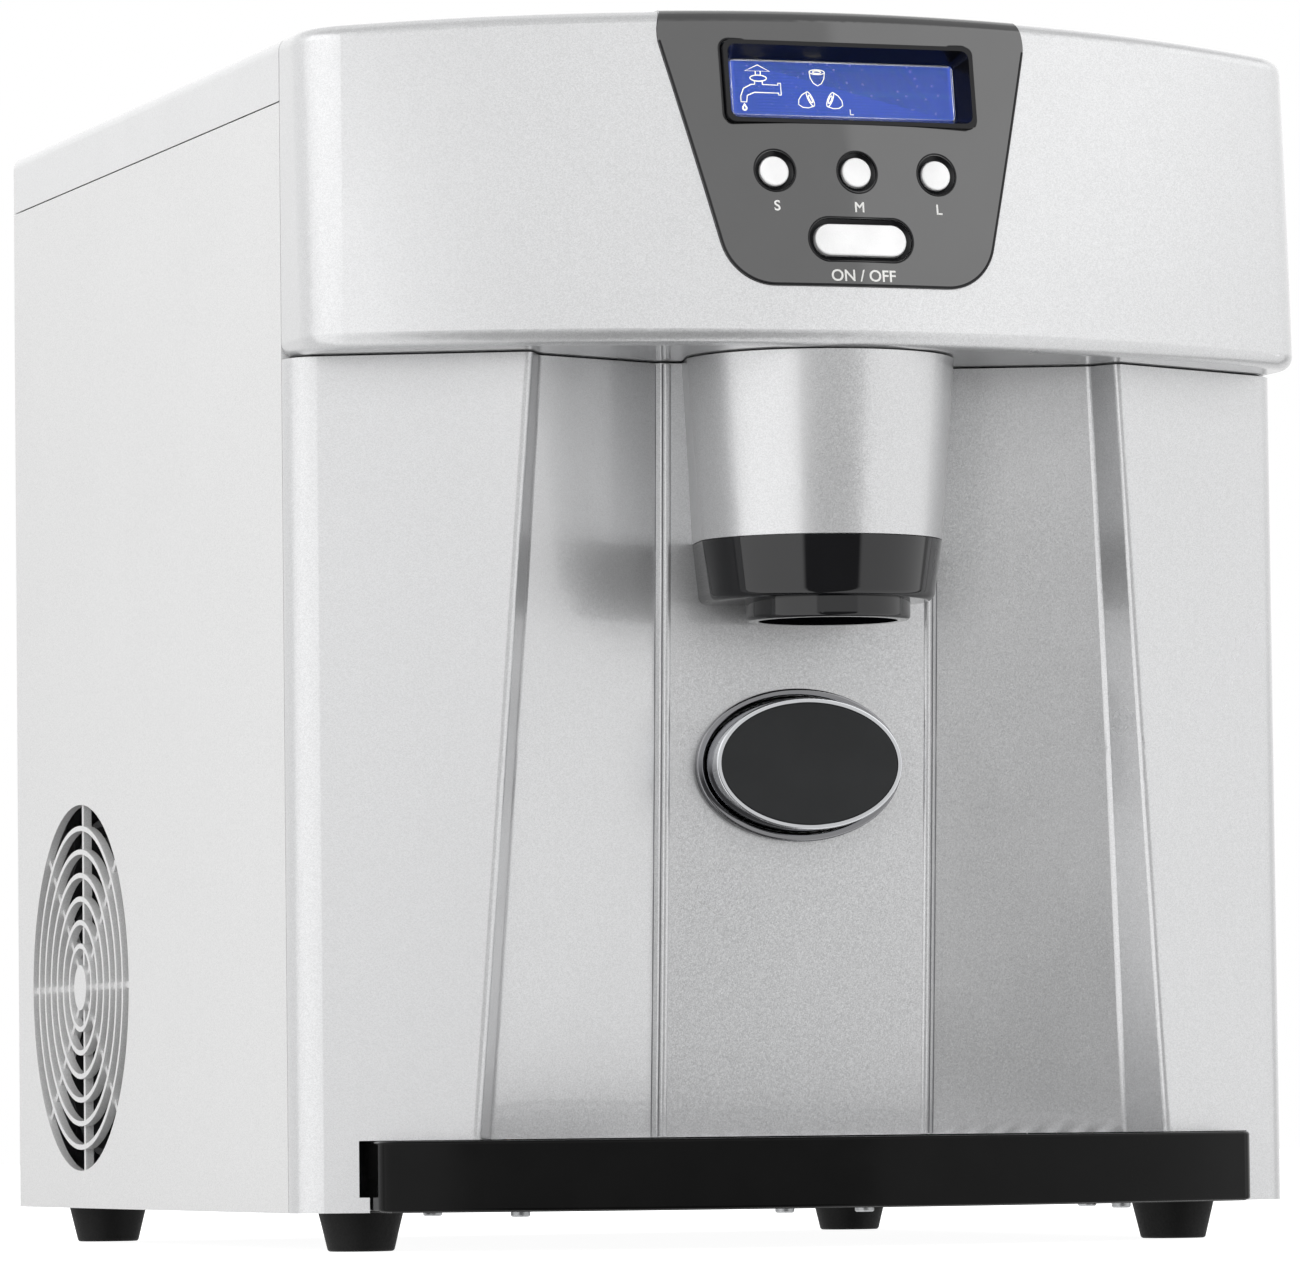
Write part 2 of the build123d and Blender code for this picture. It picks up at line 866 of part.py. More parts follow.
with BuildPart() as front_shell:
    add(full_shell)
    add(shell_form(wall), mode=Mode.SUBTRACT)
    with BuildSketch(Plane.XY.offset(body_bottom - overrun)):
        with Locations((0, seam_y - seam_gap / 2 + overrun)):
            Rectangle(2 * half_width + overrun, 2 * overrun)
            Rectangle(2 * (inner_half - fit), 2 * overrun, mode=Mode.SUBTRACT)
    extrude(amount=shell_height + 2 * overrun, mode=Mode.SUBTRACT)
    with BuildSketch(Plane.XZ.offset(overall_depth)):
        with BuildLine():
            Polyline(
                (-notch_half, tray_top), (notch_half, tray_top), (notch_half, body_bottom + sill_height),
                (notch_half - sill_width, body_bottom + sill_height), (notch_half - sill_width, 0),
                (-notch_half + sill_width, 0), (-notch_half + sill_width, body_bottom + sill_height),
                (-notch_half, body_bottom + sill_height), close=True,
            )
        make_face()
    extrude(amount=-2 * overall_depth, mode=Mode.SUBTRACT)
    with BuildSketch(Plane.XZ.offset(-seam_y + spout_reach)):
        with Locations((0, auger_z)):
            Rectangle(2 * (chute_half + fit), 2 * (chute_half + fit))
        with Locations((hose_x, hose_z)):
            Circle(hose_radius + fit)
        with Locations((0, paddle_height)):
            Ellipse(rim_back_half_width + paddle_gap, rim_back_half_height + paddle_gap)
    extrude(amount=-spout_reach - shell_tuck - overrun, mode=Mode.SUBTRACT)
export(front_shell.part, "front_shell")


# Head housing, control fascia and what they hold

button_z = head_bottom + size_button_rise
power_z = head_bottom + power_button_rise
display_z = head_bottom + display_rise
panel_lean = atan((head_front(display_z) - head_front(power_z)) / (display_z - power_z))
face_plane = Plane(
    origin=(0, head_front_y(button_z), button_z),
    x_dir=(1, 0, 0),
    z_dir=(0, -cos(panel_lean), sin(panel_lean)),
)


def face_rise(height):
    """Place along the leaning control face of a height above the ground."""
    return (height - button_z) / cos(panel_lean)


def panel_sink(x, height):
    """How deep the fascia's outer face lies behind the control plane."""
    surface_y = head_front_y(height) + x**2 / (2 * head_bow_radius(height))
    plane_y = head_front_y(button_z) + (height - button_z) * tan(panel_lean)
    return (surface_y - plane_y) * cos(panel_lean) - fascia_proud


def fascia_prism(growth, rear):
    """The fascia's shield outline, grown all round and extruded from front to rear."""
    low = head_bottom + fascia_bottom_rise
    rise = crown_top + overrun - low
    widen = (fascia_half_top - fascia_half_bottom) / (crown_top - low)
    top_half = fascia_half_bottom + widen * rise
    with BuildPart() as prism:
        with BuildSketch(Plane.XZ.offset(-rear)) as face:
            with BuildLine():
                Polyline(
                    (-top_half, low + rise), (-fascia_half_bottom, low),
                    (fascia_half_bottom, low), (top_half, low + rise), close=True,
                )
            make_face()
            fillet([v for v in face.vertices() if v.Z < low + fit], fascia_corner_round)
            if growth:
                offset(amount=growth)
        extrude(amount=rear + overall_depth)
    return prism.part


head_solid = head_form(0)
wrap_y = head_front_y(crown_top) + fascia_wrap
fascia_under = head_form(fascia_thickness + fit / 2)

with BuildPart() as head_housing:
    add(head_solid)
    add(head_form(head_wall, overrun), mode=Mode.SUBTRACT)
    add(fascia_prism(fit / 2, wrap_y + fit) - fascia_under, mode=Mode.SUBTRACT)
    add(fascia_prism(-fascia_ledge, wrap_y - fascia_ledge), mode=Mode.SUBTRACT)
export(head_housing.part, "head_housing")

with BuildPart() as control_fascia:
    add(head_form(-fascia_proud))
    add(head_form(fascia_thickness), mode=Mode.SUBTRACT)
    add(fascia_prism(0, wrap_y), mode=Mode.INTERSECT)
    with BuildSketch(face_plane.offset(overrun)):
        with Locations((0, face_rise(display_z))):
            RectangleRounded(bezel_width + fit, bezel_height + fit, bezel_corner_round)
        with Locations((0, face_rise(button_z))):
            with GridLocations(size_button_pitch, size_button_pitch, 3, 1):
                Circle(size_button_hole)
        with Locations((0, face_rise(power_z))):
            SlotOverall(power_hole_length, power_hole_height)
    extrude(amount=-3 * overrun, mode=Mode.SUBTRACT)
export(control_fascia.part, "control_fascia")

display_v = face_rise(display_z)
with BuildPart() as display_bezel:
    with BuildSketch(face_plane.offset(fit)):
        with Locations((0, display_v)):
            RectangleRounded(bezel_width, bezel_height, bezel_corner_round)
    extrude(amount=-(bezel_depth + fit))
    with BuildSketch(face_plane.offset(fit)):
        with Locations((0, display_v)):
            RectangleRounded(bezel_width - module_rim, bezel_height - module_rim, bezel_corner_round)
    with BuildSketch(face_plane.offset(-bezel_depth)):
        with Locations((0, display_v)):
            RectangleRounded(display_width, display_height, bezel_corner_round / 2)
    loft(mode=Mode.SUBTRACT)
export(display_bezel.part, "display_bezel")

with BuildPart() as display_window:
    with BuildSketch(face_plane.offset(-bezel_depth + window_thickness)):
        with Locations((0, display_v)):
            RectangleRounded(display_width - fit, display_height - fit, bezel_corner_round / 2)
    extrude(amount=-window_thickness)
export(display_window.part, "display_window")

with BuildPart() as display_module:
    with BuildSketch(face_plane.offset(-bezel_depth)):
        with Locations((0, display_v)):
            Rectangle(display_width + 2 * module_rim, display_height + 2 * module_rim)
    extrude(amount=-module_thickness)
export(display_module.part, "display_module")

board_depth = bezel_depth + module_thickness
stem_end = board_depth - switch_height - switch_plunger_height - button_travel - fit / 2
button_places = {
    "button_s": (-size_button_pitch, button_z),
    "button_m": (0, button_z),
    "button_l": (size_button_pitch, button_z),
    "button_on_off": (0, power_z),
}
with BuildPart() as control_board:
    with BuildSketch(face_plane.offset(-board_depth)):
        with Locations((0, display_v + display_height / 2 + 2 * module_rim - board_height / 2)):
            Rectangle(board_width, board_height)
    extrude(amount=-board_thickness)
    with BuildSketch(face_plane.offset(-board_depth)):
        with Locations(*[(x, face_rise(z)) for x, z in button_places.values()]):
            Rectangle(switch_size, switch_size)
    extrude(amount=switch_height)
    with BuildSketch(face_plane.offset(-board_depth + switch_height)):
        with Locations(*[(x, face_rise(z)) for x, z in button_places.values()]):
            Circle(switch_plunger_radius)
    extrude(amount=switch_plunger_height)
    with BuildSketch(face_plane.offset(-board_depth - board_thickness)):
        with Locations((board_width / 4, -board_height / 8), (-board_width / 4, board_height / 8)):
            Rectangle(board_width / 6, board_height / 6)
    extrude(amount=-board_thickness)
export(control_board.part, "control_board")

for name, (x, height) in button_places.items():
    round_button = name != "button_on_off"
    top = panel_sink(x, height) + button_sink
    reach = size_button_hole if round_button else power_hole_length / 2
    bow_rise = (abs(x) + reach) * reach / head_bow_radius(height)
    flange_depth = panel_sink(x, height) + fascia_proud + fascia_thickness + bow_rise + fit
    with BuildPart() as cap:
        with BuildSketch(face_plane.offset(-top)):
            with Locations((x, face_rise(height))):
                if round_button:
                    Circle(size_button_radius)
                else:
                    SlotOverall(power_button_length, power_button_height)
        extrude(amount=-(flange_depth - top))
        front_rim = cap.edges().group_by(Axis(face_plane.origin, face_plane.z_dir))[-1]
        fillet(front_rim, button_sink * 2)
        with BuildSketch(face_plane.offset(-flange_depth)):
            with Locations((x, face_rise(height))):
                if round_button:
                    Circle(size_button_hole + button_flange)
                else:
                    SlotOverall(power_hole_length + 2 * button_flange, power_hole_height + 2 * button_flange)
        extrude(amount=-button_flange_thickness)
        with BuildSketch(face_plane.offset(-flange_depth - button_flange_thickness / 2)):
            with Locations((x, face_rise(height))):
                Circle(button_stem_radius)
        extrude(amount=-(stem_end - flange_depth - button_flange_thickness / 2))
    export(cap.part, name)


# Top cover and filling lid

def cover_form(inset, front_extra=0.0):
    """The top cover as a full block with a crowned top, inset all round by a distance."""
    low = panel_top + seam_gap / 2 - (overrun if inset else 0)
    front = seam_y + seam_gap / 2 - front_extra
    side = half_width - inset
    with BuildPart() as form:
        with BuildSketch(Plane.XZ.offset(-front)):
            with BuildLine():
                Polyline((-side, crown_side - inset), (-side, low), (side, low), (side, crown_side - inset))
                ThreePointArc((side, crown_side - inset), (0, crown_top - inset), (-side, crown_side - inset))
            make_face()
        extrude(amount=-(rear_y - inset - front))
        round_size = cover_corner_round - inset
        if round_size > fit:
            uprights = [
                e for e in form.edges()
                if e.center().Y > rear_y - inset - fit and abs(e.center().X) > side - fit
            ]
            rims = [
                e for e in form.edges()
                if e.center().Z > crown_side - inset - fit and e.center().Y > front + fit
            ]
            fillet(uprights + rims, round_size)
    return form.part


lid_y = seam_y + lid_setback + lid_length / 2
lid_rear_y = lid_y + lid_length / 2
hinge_y = lid_rear_y + hinge_set
hinge_z = crown_top - hinge_drop - hinge_offset**2 / (2 * (half_width**2 + crown_rise**2) / (2 * crown_rise))


def lid_prism(width, front, rear, corner_round):
    """An upright block through the top cover between two places in depth."""
    with BuildPart() as prism:
        with BuildSketch(Plane.XY.offset(panel_top - overrun)):
            with Locations((0, (front + rear) / 2)):
                RectangleRounded(width, rear - front, corner_round)
        extrude(amount=crown_top - panel_top + 2 * overrun)
    return prism.part


lid_front_y = lid_y - lid_length / 2
lid_seat = lid_thickness + fit
cover_skin = cover_form(0)
ledge_top = cover_form(lid_seat)
ledge_bottom = cover_form(lid_seat + lid_ledge_thickness)
opening_front = lid_front_y - lid_gap
opening_rear = hinge_y + hinge_rear_gap
opening_width = lid_width + 2 * lid_gap
lid_opening = lid_prism(opening_width, opening_front, opening_rear, lid_corner_round + lid_gap)
ledge_outer = lid_prism(
    opening_width + lid_ledge, opening_front - lid_ledge / 2, opening_rear + lid_ledge / 2, lid_corner_round,
)
ledge_inner = lid_prism(
    lid_width - 2 * lid_ledge, lid_front_y + lid_ledge, lid_rear_y - lid_ledge, lid_corner_round - lid_ledge,
)
hinge_centres = [(sign * hinge_offset, hinge_y) for sign in (-1, 1)]
hinge_span = hinge_knuckle_length + 2 * hinge_ear_length

with BuildPart() as top_cover:
    add(cover_skin)
    add(cover_form(wall, overrun), mode=Mode.SUBTRACT)
    add((ledge_outer & cover_form(wall / 2)) - ledge_bottom)
    add(lid_opening - ledge_top, mode=Mode.SUBTRACT)
    add(ledge_inner, mode=Mode.SUBTRACT)
    with BuildSketch(Plane.XY.offset(panel_top)):
        with Locations(*hinge_centres):
            Rectangle(hinge_span, 2 * hinge_rear_gap)
    extrude(amount=crown_top - panel_top, mode=Mode.SUBTRACT)
    for sign in (-1, 1):
        for end in (-1, 1):
            ear_x = sign * hinge_offset + end * (hinge_knuckle_length + hinge_ear_length + fit) / 2
            with BuildSketch(Plane.YZ.offset(ear_x - (hinge_ear_length - fit) / 2)):
                with Locations((hinge_y, hinge_z)):
                    Circle(hinge_knuckle_radius)
                ear_arm = hinge_rear_gap + lid_ledge / 2
                with Locations((hinge_y + ear_arm / 2, hinge_z - hinge_knuckle_radius / 2)):
                    Rectangle(ear_arm, hinge_knuckle_radius)
                with Locations((hinge_y, hinge_z)):
                    Circle(hinge_radius + running_clearance / 2, mode=Mode.SUBTRACT)
            extrude(amount=hinge_ear_length - fit)
export(top_cover.part, "top_cover")

window_prism = lid_prism(
    lid_window_width, lid_y - lid_window_length / 2, lid_y + lid_window_length / 2, lid_window_round,
)
with BuildPart() as lid:
    lid_block = lid_prism(lid_width, lid_front_y, lid_rear_y, lid_corner_round)
    add((lid_block & cover_skin) - cover_form(lid_thickness))
    add(window_prism, mode=Mode.SUBTRACT)
    with BuildSketch(Plane.XY.offset(crown_top - lid_thickness / 2)):
        with Locations((0, lid_front_y + 2 * handle_depth)):
            RectangleRounded(handle_width, handle_depth, handle_depth / 3)
    extrude(amount=lid_thickness / 2 + handle_height)
    for sign in (-1, 1):
        knuckle_x = sign * hinge_offset - (hinge_knuckle_length - fit) / 2
        with BuildSketch(Plane.YZ.offset(knuckle_x)):
            with Locations((hinge_y, hinge_z)):
                Circle(hinge_knuckle_radius)
            with Locations((hinge_y - hinge_set / 2 - lid_ledge / 4, hinge_z)):
                Rectangle(hinge_set + lid_ledge / 2, lid_thickness / 2)
            with Locations((hinge_y, hinge_z)):
                Circle(hinge_radius + running_clearance, mode=Mode.SUBTRACT)
        extrude(amount=hinge_knuckle_length - fit)
export(lid.part, "lid")

lid_pane = lid_prism(
    lid_window_width - fit, lid_y - (lid_window_length - fit) / 2, lid_y + (lid_window_length - fit) / 2,
    lid_window_round,
)
with BuildPart() as lid_window:
    add((lid_pane & cover_form(fit)) - cover_form(fit + window_thickness * 2))
export(lid_window.part, "lid_window")

with BuildPart() as lid_hinge_pins:
    for sign in (-1, 1):
        with BuildSketch(Plane.YZ.offset(sign * hinge_offset - hinge_span / 2)):
            with Locations((hinge_y, hinge_z)):
                Circle(hinge_radius)
        extrude(amount=hinge_span)
export(lid_hinge_pins.part, "lid_hinge_pins")


# Ice spout, chute and chute door

def spout_outline(height, radius, web, inset=0.0):
    """A half circle to the front with two webs that narrow towards the bay wall."""
    size = radius - inset
    back_y = seam_y - shell_tuck
    back = web - inset
    with BuildSketch(Plane.XY.offset(height)) as face:
        with BuildLine():
            ThreePointArc((size, spout_y), (0, spout_y - size), (-size, spout_y))
            Polyline((-size, spout_y), (-back, back_y), (back, back_y), (size, spout_y))
        make_face()
    return face.sketch


def spout_shell(top, top_radius, top_web, bottom, bottom_radius, bottom_web, inset):
    """A tapered block between two outlines of the spout."""
    with BuildPart() as block:
        with BuildSketch(Plane.XY.offset(top)):
            add(spout_outline(top, top_radius, top_web, inset))
        with BuildSketch(Plane.XY.offset(bottom)):
            add(spout_outline(bottom, bottom_radius, bottom_web, inset))
        loft()
    return block.part


with BuildPart() as spout_housing:
    add(spout_shell(spout_top, spout_radius_top, spout_web_top,
                    spout_bottom, spout_radius_bottom, spout_web_bottom, 0))
    spout_hollow = spout_shell(spout_top + overrun, spout_radius_top, spout_web_top,
                               spout_bottom - overrun, spout_radius_bottom, spout_web_bottom, spout_wall)
    add(spout_hollow, mode=Mode.SUBTRACT)
    add(full_shell, mode=Mode.SUBTRACT)
export(spout_housing.part, "spout_housing")

with BuildPart() as spout_ring:
    add(spout_shell(ring_top, spout_radius_bottom, spout_web_bottom,
                    ring_bottom, ring_radius_bottom, ring_web_bottom, 0))
    creases = [
        e for e in spout_ring.edges()
        if ring_bottom + fit < e.center().Z < ring_top - fit and e.center().Y < seam_y - shell_tuck - fit
    ]
    fillet(creases, ring_crease_round)
    fillet(spout_ring.edges().group_by(Axis.Z)[0], ring_edge_round)
    ring_hollow = spout_shell(ring_top + overrun, spout_radius_bottom, spout_web_bottom,
                              ring_bottom + ring_floor, ring_radius_bottom, ring_web_bottom, spout_wall)
    add(ring_hollow, mode=Mode.SUBTRACT)
    with BuildSketch(Plane.XY.offset(nozzle_bottom)):
        with Locations((0, nozzle_y)):
            Circle(nozzle_radius)
    extrude(amount=nozzle_height + ring_floor / 2)
    fillet(spout_ring.edges().group_by(Axis.Z)[0], nozzle_edge_round)
    with BuildSketch(Plane.XY.offset(nozzle_bottom - overrun)):
        with Locations((0, nozzle_y)):
            Circle(nozzle_bore)
    extrude(amount=2 * overrun + nozzle_height, mode=Mode.SUBTRACT)
    add(full_shell, mode=Mode.SUBTRACT)
export(spout_ring.part, "spout_ring")

bin_front_y = seam_y + bin_front
door_y = seam_y - chute_reach - door_thickness
door_pin_z = chute_top - chute_wall - door_ear_radius
with BuildPart() as ice_chute:
    with BuildSketch(Plane.XZ.offset(-bin_front_y)):
        with Locations((0, auger_z)):
            Rectangle(2 * chute_half, 2 * chute_half)
            Rectangle(2 * (chute_half - chute_wall), 2 * (chute_half - chute_wall), mode=Mode.SUBTRACT)
    extrude(amount=bin_front + chute_reach)
    for sign in (-1, 1):
        ear_x = sign * (chute_half - chute_wall / 2)
        with BuildSketch(Plane.YZ.offset(ear_x - chute_wall / 2)):
            with Locations((door_y + door_thickness / 2, door_pin_z)):
                Circle(door_ear_radius)
            with Locations((door_y + door_thickness + door_ear_radius / 2, door_pin_z)):
                Rectangle(door_ear_radius + door_thickness, 2 * door_ear_radius)
        extrude(amount=chute_wall)
    with BuildSketch(Plane.YZ.offset(-chute_half - overrun)):
        with Locations((door_y + door_thickness / 2, door_pin_z)):
            Circle(door_pin_radius + running_clearance)
    extrude(amount=2 * chute_half + 2 * overrun, mode=Mode.SUBTRACT)
export(ice_chute.part, "ice_chute")

with BuildPart() as chute_door:
    with BuildSketch(Plane.XZ.offset(-door_y - door_thickness + fit)):
        with Locations((0, door_pin_z - door_length / 2)):
            RectangleRounded(2 * door_half, door_length, door_pin_radius)
    extrude(amount=door_thickness)
    with BuildSketch(Plane.YZ.offset(-chute_half)):
        with Locations((door_y + door_thickness / 2, door_pin_z)):
            Circle(door_pin_radius)
    extrude(amount=2 * chute_half)
export(chute_door.part, "chute_door")


# Push paddle and its switch

def oval_prism(half_w, half_h, front, rear, back_growth=0.0):
    """An upright ellipse between two depths, growing towards the back."""
    with BuildPart() as prism:
        with BuildSketch(Plane.XZ.offset(-front)):
            with Locations((0, paddle_height)):
                Ellipse(half_w, half_h)
        if back_growth:
            with BuildSketch(Plane.XZ.offset(-rear)):
                with Locations((0, paddle_height)):
                    Ellipse(half_w + back_growth, half_h + back_growth)
            loft()
        else:
            extrude(amount=-(rear - front))
    return prism.part


wall_face_y = bay_wall_y(paddle_height)
bezel_half_w = rim_back_half_width + paddle_gap
bezel_half_h = rim_back_half_height + paddle_gap
with BuildPart() as paddle_bezel:
    add(oval_prism(bezel_half_w + paddle_bezel_lip, bezel_half_h + paddle_bezel_lip,
                   wall_face_y - paddle_bezel_height, wall_face_y + wall))
    bezel_hole = oval_prism(bezel_half_w, bezel_half_h, wall_face_y - overrun, wall_face_y + overrun)
    add(bezel_hole, mode=Mode.SUBTRACT)
    add(full_shell, mode=Mode.SUBTRACT)
    fillet(paddle_bezel.edges().group_by(Axis.Y)[0], paddle_bezel_lip / 4)
export(paddle_bezel.part, "paddle_bezel")

with BuildPart() as paddle_rim:
    add(oval_prism(rim_half_width, rim_half_height, paddle_y, paddle_y + rim_depth, rim_back_growth))
    fillet(paddle_rim.edges().group_by(Axis.Y)[0], (rim_half_width - pad_half_width) / 3)
    pad_seat = oval_prism(pad_half_width, pad_half_height, paddle_y - overrun, paddle_y + pad_thickness)
    add(pad_seat, mode=Mode.SUBTRACT)
    rim_hollow = oval_prism(pad_half_width - rim_wall, pad_half_height - rim_wall,
                            paddle_y, paddle_y + rim_depth + overrun)
    add(rim_hollow, mode=Mode.SUBTRACT)
export(paddle_rim.part, "paddle_rim")

with BuildPart() as paddle_pad:
    add(oval_prism(pad_half_width - running_clearance, pad_half_height - running_clearance,
                   paddle_y, paddle_y + pad_thickness))
    fillet(paddle_pad.edges().group_by(Axis.Y)[0], pad_thickness / 4)
export(paddle_pad.part, "paddle_pad")

disc_y = paddle_y + pad_thickness
guide_y = seam_y + guide_set
with BuildPart() as paddle_plunger:
    disc_half_width = pad_half_width - rim_wall - running_clearance
    disc_half_height = pad_half_height - rim_wall - running_clearance
    add(oval_prism(disc_half_width, disc_half_height, disc_y, disc_y + plunger_disc_thickness))
    with BuildSketch(Plane.XZ.offset(-disc_y)):
        with Locations((0, paddle_height)):
            Circle(plunger_radius)
    extrude(amount=-plunger_length)
export(paddle_plunger.part, "paddle_plunger")

guide_end_y = bay_wall_y(paddle_height - guide_half_height) + fit
switch_y = disc_y + plunger_length + paddle_travel + fit
with BuildPart() as paddle_guide:
    with BuildSketch(Plane.XZ.offset(-guide_y)):
        with Locations((0, paddle_height)):
            Rectangle(2 * (rim_back_half_width + guide_thickness + hose_gap), 2 * guide_half_height)
    extrude(amount=-guide_thickness)
    with BuildSketch(Plane.XZ.offset(-guide_y)):
        with Locations((0, paddle_height)):
            Circle(guide_bush_radius)
    extrude(amount=-guide_bush_length)
    for sign in (-1, 1):
        with BuildSketch(Plane.XZ.offset(-guide_y)):
            with Locations((sign * (rim_back_half_width + guide_thickness / 2 + hose_gap), paddle_height)):
                Rectangle(guide_thickness, 2 * guide_half_height)
        extrude(amount=guide_y - guide_end_y)
    with BuildSketch(Plane.XY.offset(paddle_height - guide_bush_radius - guide_thickness)):
        with Locations((0, guide_y + guide_shelf / 2)):
            Rectangle(2 * micro_switch_length, guide_shelf)
    extrude(amount=guide_thickness)
    with BuildSketch(Plane.XZ.offset(-guide_y + overrun)):
        with Locations((0, paddle_height)):
            Circle(plunger_radius + running_clearance)
    extrude(amount=-2 * overrun - guide_bush_length, mode=Mode.SUBTRACT)
    add(front_shell.part, mode=Mode.SUBTRACT)
export(paddle_guide.part, "paddle_guide")

with BuildPart() as paddle_switch:
    with BuildSketch(Plane.XY.offset(paddle_height - guide_bush_radius)):
        with Locations((0, switch_y + micro_switch_width / 2)):
            Rectangle(micro_switch_length, micro_switch_width)
    extrude(amount=guide_bush_radius + micro_switch_height / 2)
export(paddle_switch.part, "paddle_switch")

with BuildPart() as paddle_spring:
    spring_front = disc_y + plunger_disc_thickness + spring_wire + running_clearance
    spring_length = guide_y - spring_wire - running_clearance - spring_front
    with BuildLine() as coil:
        Helix(
            pitch=spring_length / spring_turns, height=spring_length, radius=spring_radius,
            center=(0, spring_front, paddle_height), direction=(0, 1, 0),
        )
    with BuildSketch(Plane(origin=coil.line @ 0, z_dir=coil.line % 0)):
        Circle(spring_wire)
    sweep(path=coil.line, is_frenet=True)
export(paddle_spring.part, "paddle_spring")


# Drip tray and grate

tray_low = body_bottom + fit
tray_high = tray_top - fit
tray_rear_y = seam_y + tray_back
tray_under = base_top + fit
with BuildPart() as drip_tray:
    add(bowed_front(tray_half, tray_end_reach, tray_reach, tray_rear_y, tray_low, tray_corner_round))
    extrude(amount=tray_high - tray_low)
    outer_rims = [
        e for e in drip_tray.edges()
        if abs(e.center().Z - tray_high) < fit or abs(e.center().Z - tray_low) < fit
    ]
    fillet([e for e in outer_rims if e.center().Y < tray_rear_y - fit], tray_edge_round)
    add(bowed_front(base_tray_half + fit, tray_end_reach, base_tray_reach + fit, tray_rear_y + overrun, 0, 0))
    extrude(amount=tray_under, mode=Mode.SUBTRACT)
    with BuildSketch(Plane.XY):
        with Locations((0, tray_rear_y + overrun - (tray_back + tray_skirt_end + overrun) / 2)):
            Rectangle(2 * tray_half + overrun, tray_back + tray_skirt_end + overrun)
    extrude(amount=tray_under, mode=Mode.SUBTRACT)
    add(bowed_front(tray_half - tray_wall, tray_end_reach, tray_reach - tray_wall,
                    tray_rear_y - tray_wall, tray_high - grate_drop - grate_thickness,
                    tray_corner_round - tray_wall))
    extrude(amount=overrun, mode=Mode.SUBTRACT)
    add(bowed_front(tray_half - tray_wall - grate_ledge, tray_end_reach, tray_reach - tray_wall - grate_ledge,
                    tray_rear_y - tray_wall - grate_ledge, tray_under + tray_floor,
                    tray_corner_round - tray_wall))
    extrude(amount=tray_high, mode=Mode.SUBTRACT)
export(drip_tray.part, "drip_tray")

grate_half = tray_half - tray_wall - fit
grate_rear_y = tray_rear_y - tray_wall - fit
grate_front_reach = tray_reach - tray_wall - fit
slot_count = int((2 * grate_half - 2 * grate_border) / grate_slot_pitch)
with BuildPart() as drip_grate:
    add(bowed_front(grate_half, tray_end_reach, grate_front_reach, grate_rear_y,
                    tray_high - grate_drop - grate_thickness, tray_corner_round - tray_wall))
    extrude(amount=grate_thickness)
    for place in range(slot_count):
        slot_x = (place - (slot_count - 1) / 2) * grate_slot_pitch
        bow_share = (slot_x / grate_half) ** 2
        slot_front = mix(grate_front_reach, tray_end_reach, bow_share) - grate_border
        slot_rear = -(grate_rear_y - seam_y) + grate_border
        if slot_front - slot_rear > 2 * grate_slot_width:
            with BuildSketch(Plane.XY.offset(tray_high - grate_drop - grate_thickness)):
                with Locations((slot_x, seam_y - (slot_front + slot_rear) / 2)):
                    SlotOverall(slot_front - slot_rear, grate_slot_width, rotation=90)
            extrude(amount=grate_thickness, mode=Mode.SUBTRACT)
export(drip_grate.part, "drip_grate")


# Inner frame, ice bin and auger

def pipe(points, radius, bend, bore=0.0):
    """A round tube along straight runs joined by arcs."""
    with BuildPart() as tube:
        with BuildLine() as path:
            FilletPolyline(*points, radius=bend) if len(points) > 2 else Line(*points)
        with BuildSketch(Plane(origin=path.line @ 0, z_dir=path.line % 0)):
            Circle(radius)
            if bore:
                Circle(bore, mode=Mode.SUBTRACT)
        sweep(path=path.line)
    return tube.part


deck_top = deck_height + deck_thickness
deck_half = inner_half - deck_side_gap
deck_front_y = seam_y + deck_front
deck_rear_y = rear_back - deck_rear_gap
deck_y = (deck_front_y + deck_rear_y) / 2
tank_front_y = rear_back - tank_rear_gap - tank_length
liquid_x = -(gear_motor_width / 2 + 3 * copper_radius + copper_bend)
suction_x = -liquid_x
riser_y = tank_front_y - 2 * copper_bend
drain_hose_y = rear_back - deck_rear_gap - 4 * hose_radius
with BuildPart() as support_frame:
    with BuildSketch(Plane.XY.offset(deck_height)):
        with Locations((0, deck_y)):
            Rectangle(2 * deck_half, deck_rear_y - deck_front_y)
        with Locations((liquid_x, riser_y), (suction_x, riser_y)):
            Circle(2 * copper_radius, mode=Mode.SUBTRACT)
        with Locations((drain_x, drain_hose_y)):
            Circle(2 * hose_radius, mode=Mode.SUBTRACT)
    extrude(amount=deck_thickness)
    with BuildSketch(Plane.XY.offset(base_top)):
        for sign_x in (-1, 1):
            for sign_y in (-1, 1):
                corner_x = sign_x * deck_half
                corner_y = deck_y + sign_y * (deck_rear_y - deck_front_y) / 2
                with Locations((corner_x - sign_x * leg_thickness / 2, corner_y - sign_y * leg_width / 2)):
                    Rectangle(leg_thickness, leg_width)
                with Locations((corner_x - sign_x * leg_width / 2, corner_y - sign_y * leg_thickness / 2)):
                    Rectangle(leg_width, leg_thickness)
    extrude(amount=deck_height - base_top)
export(support_frame.part, "support_frame")

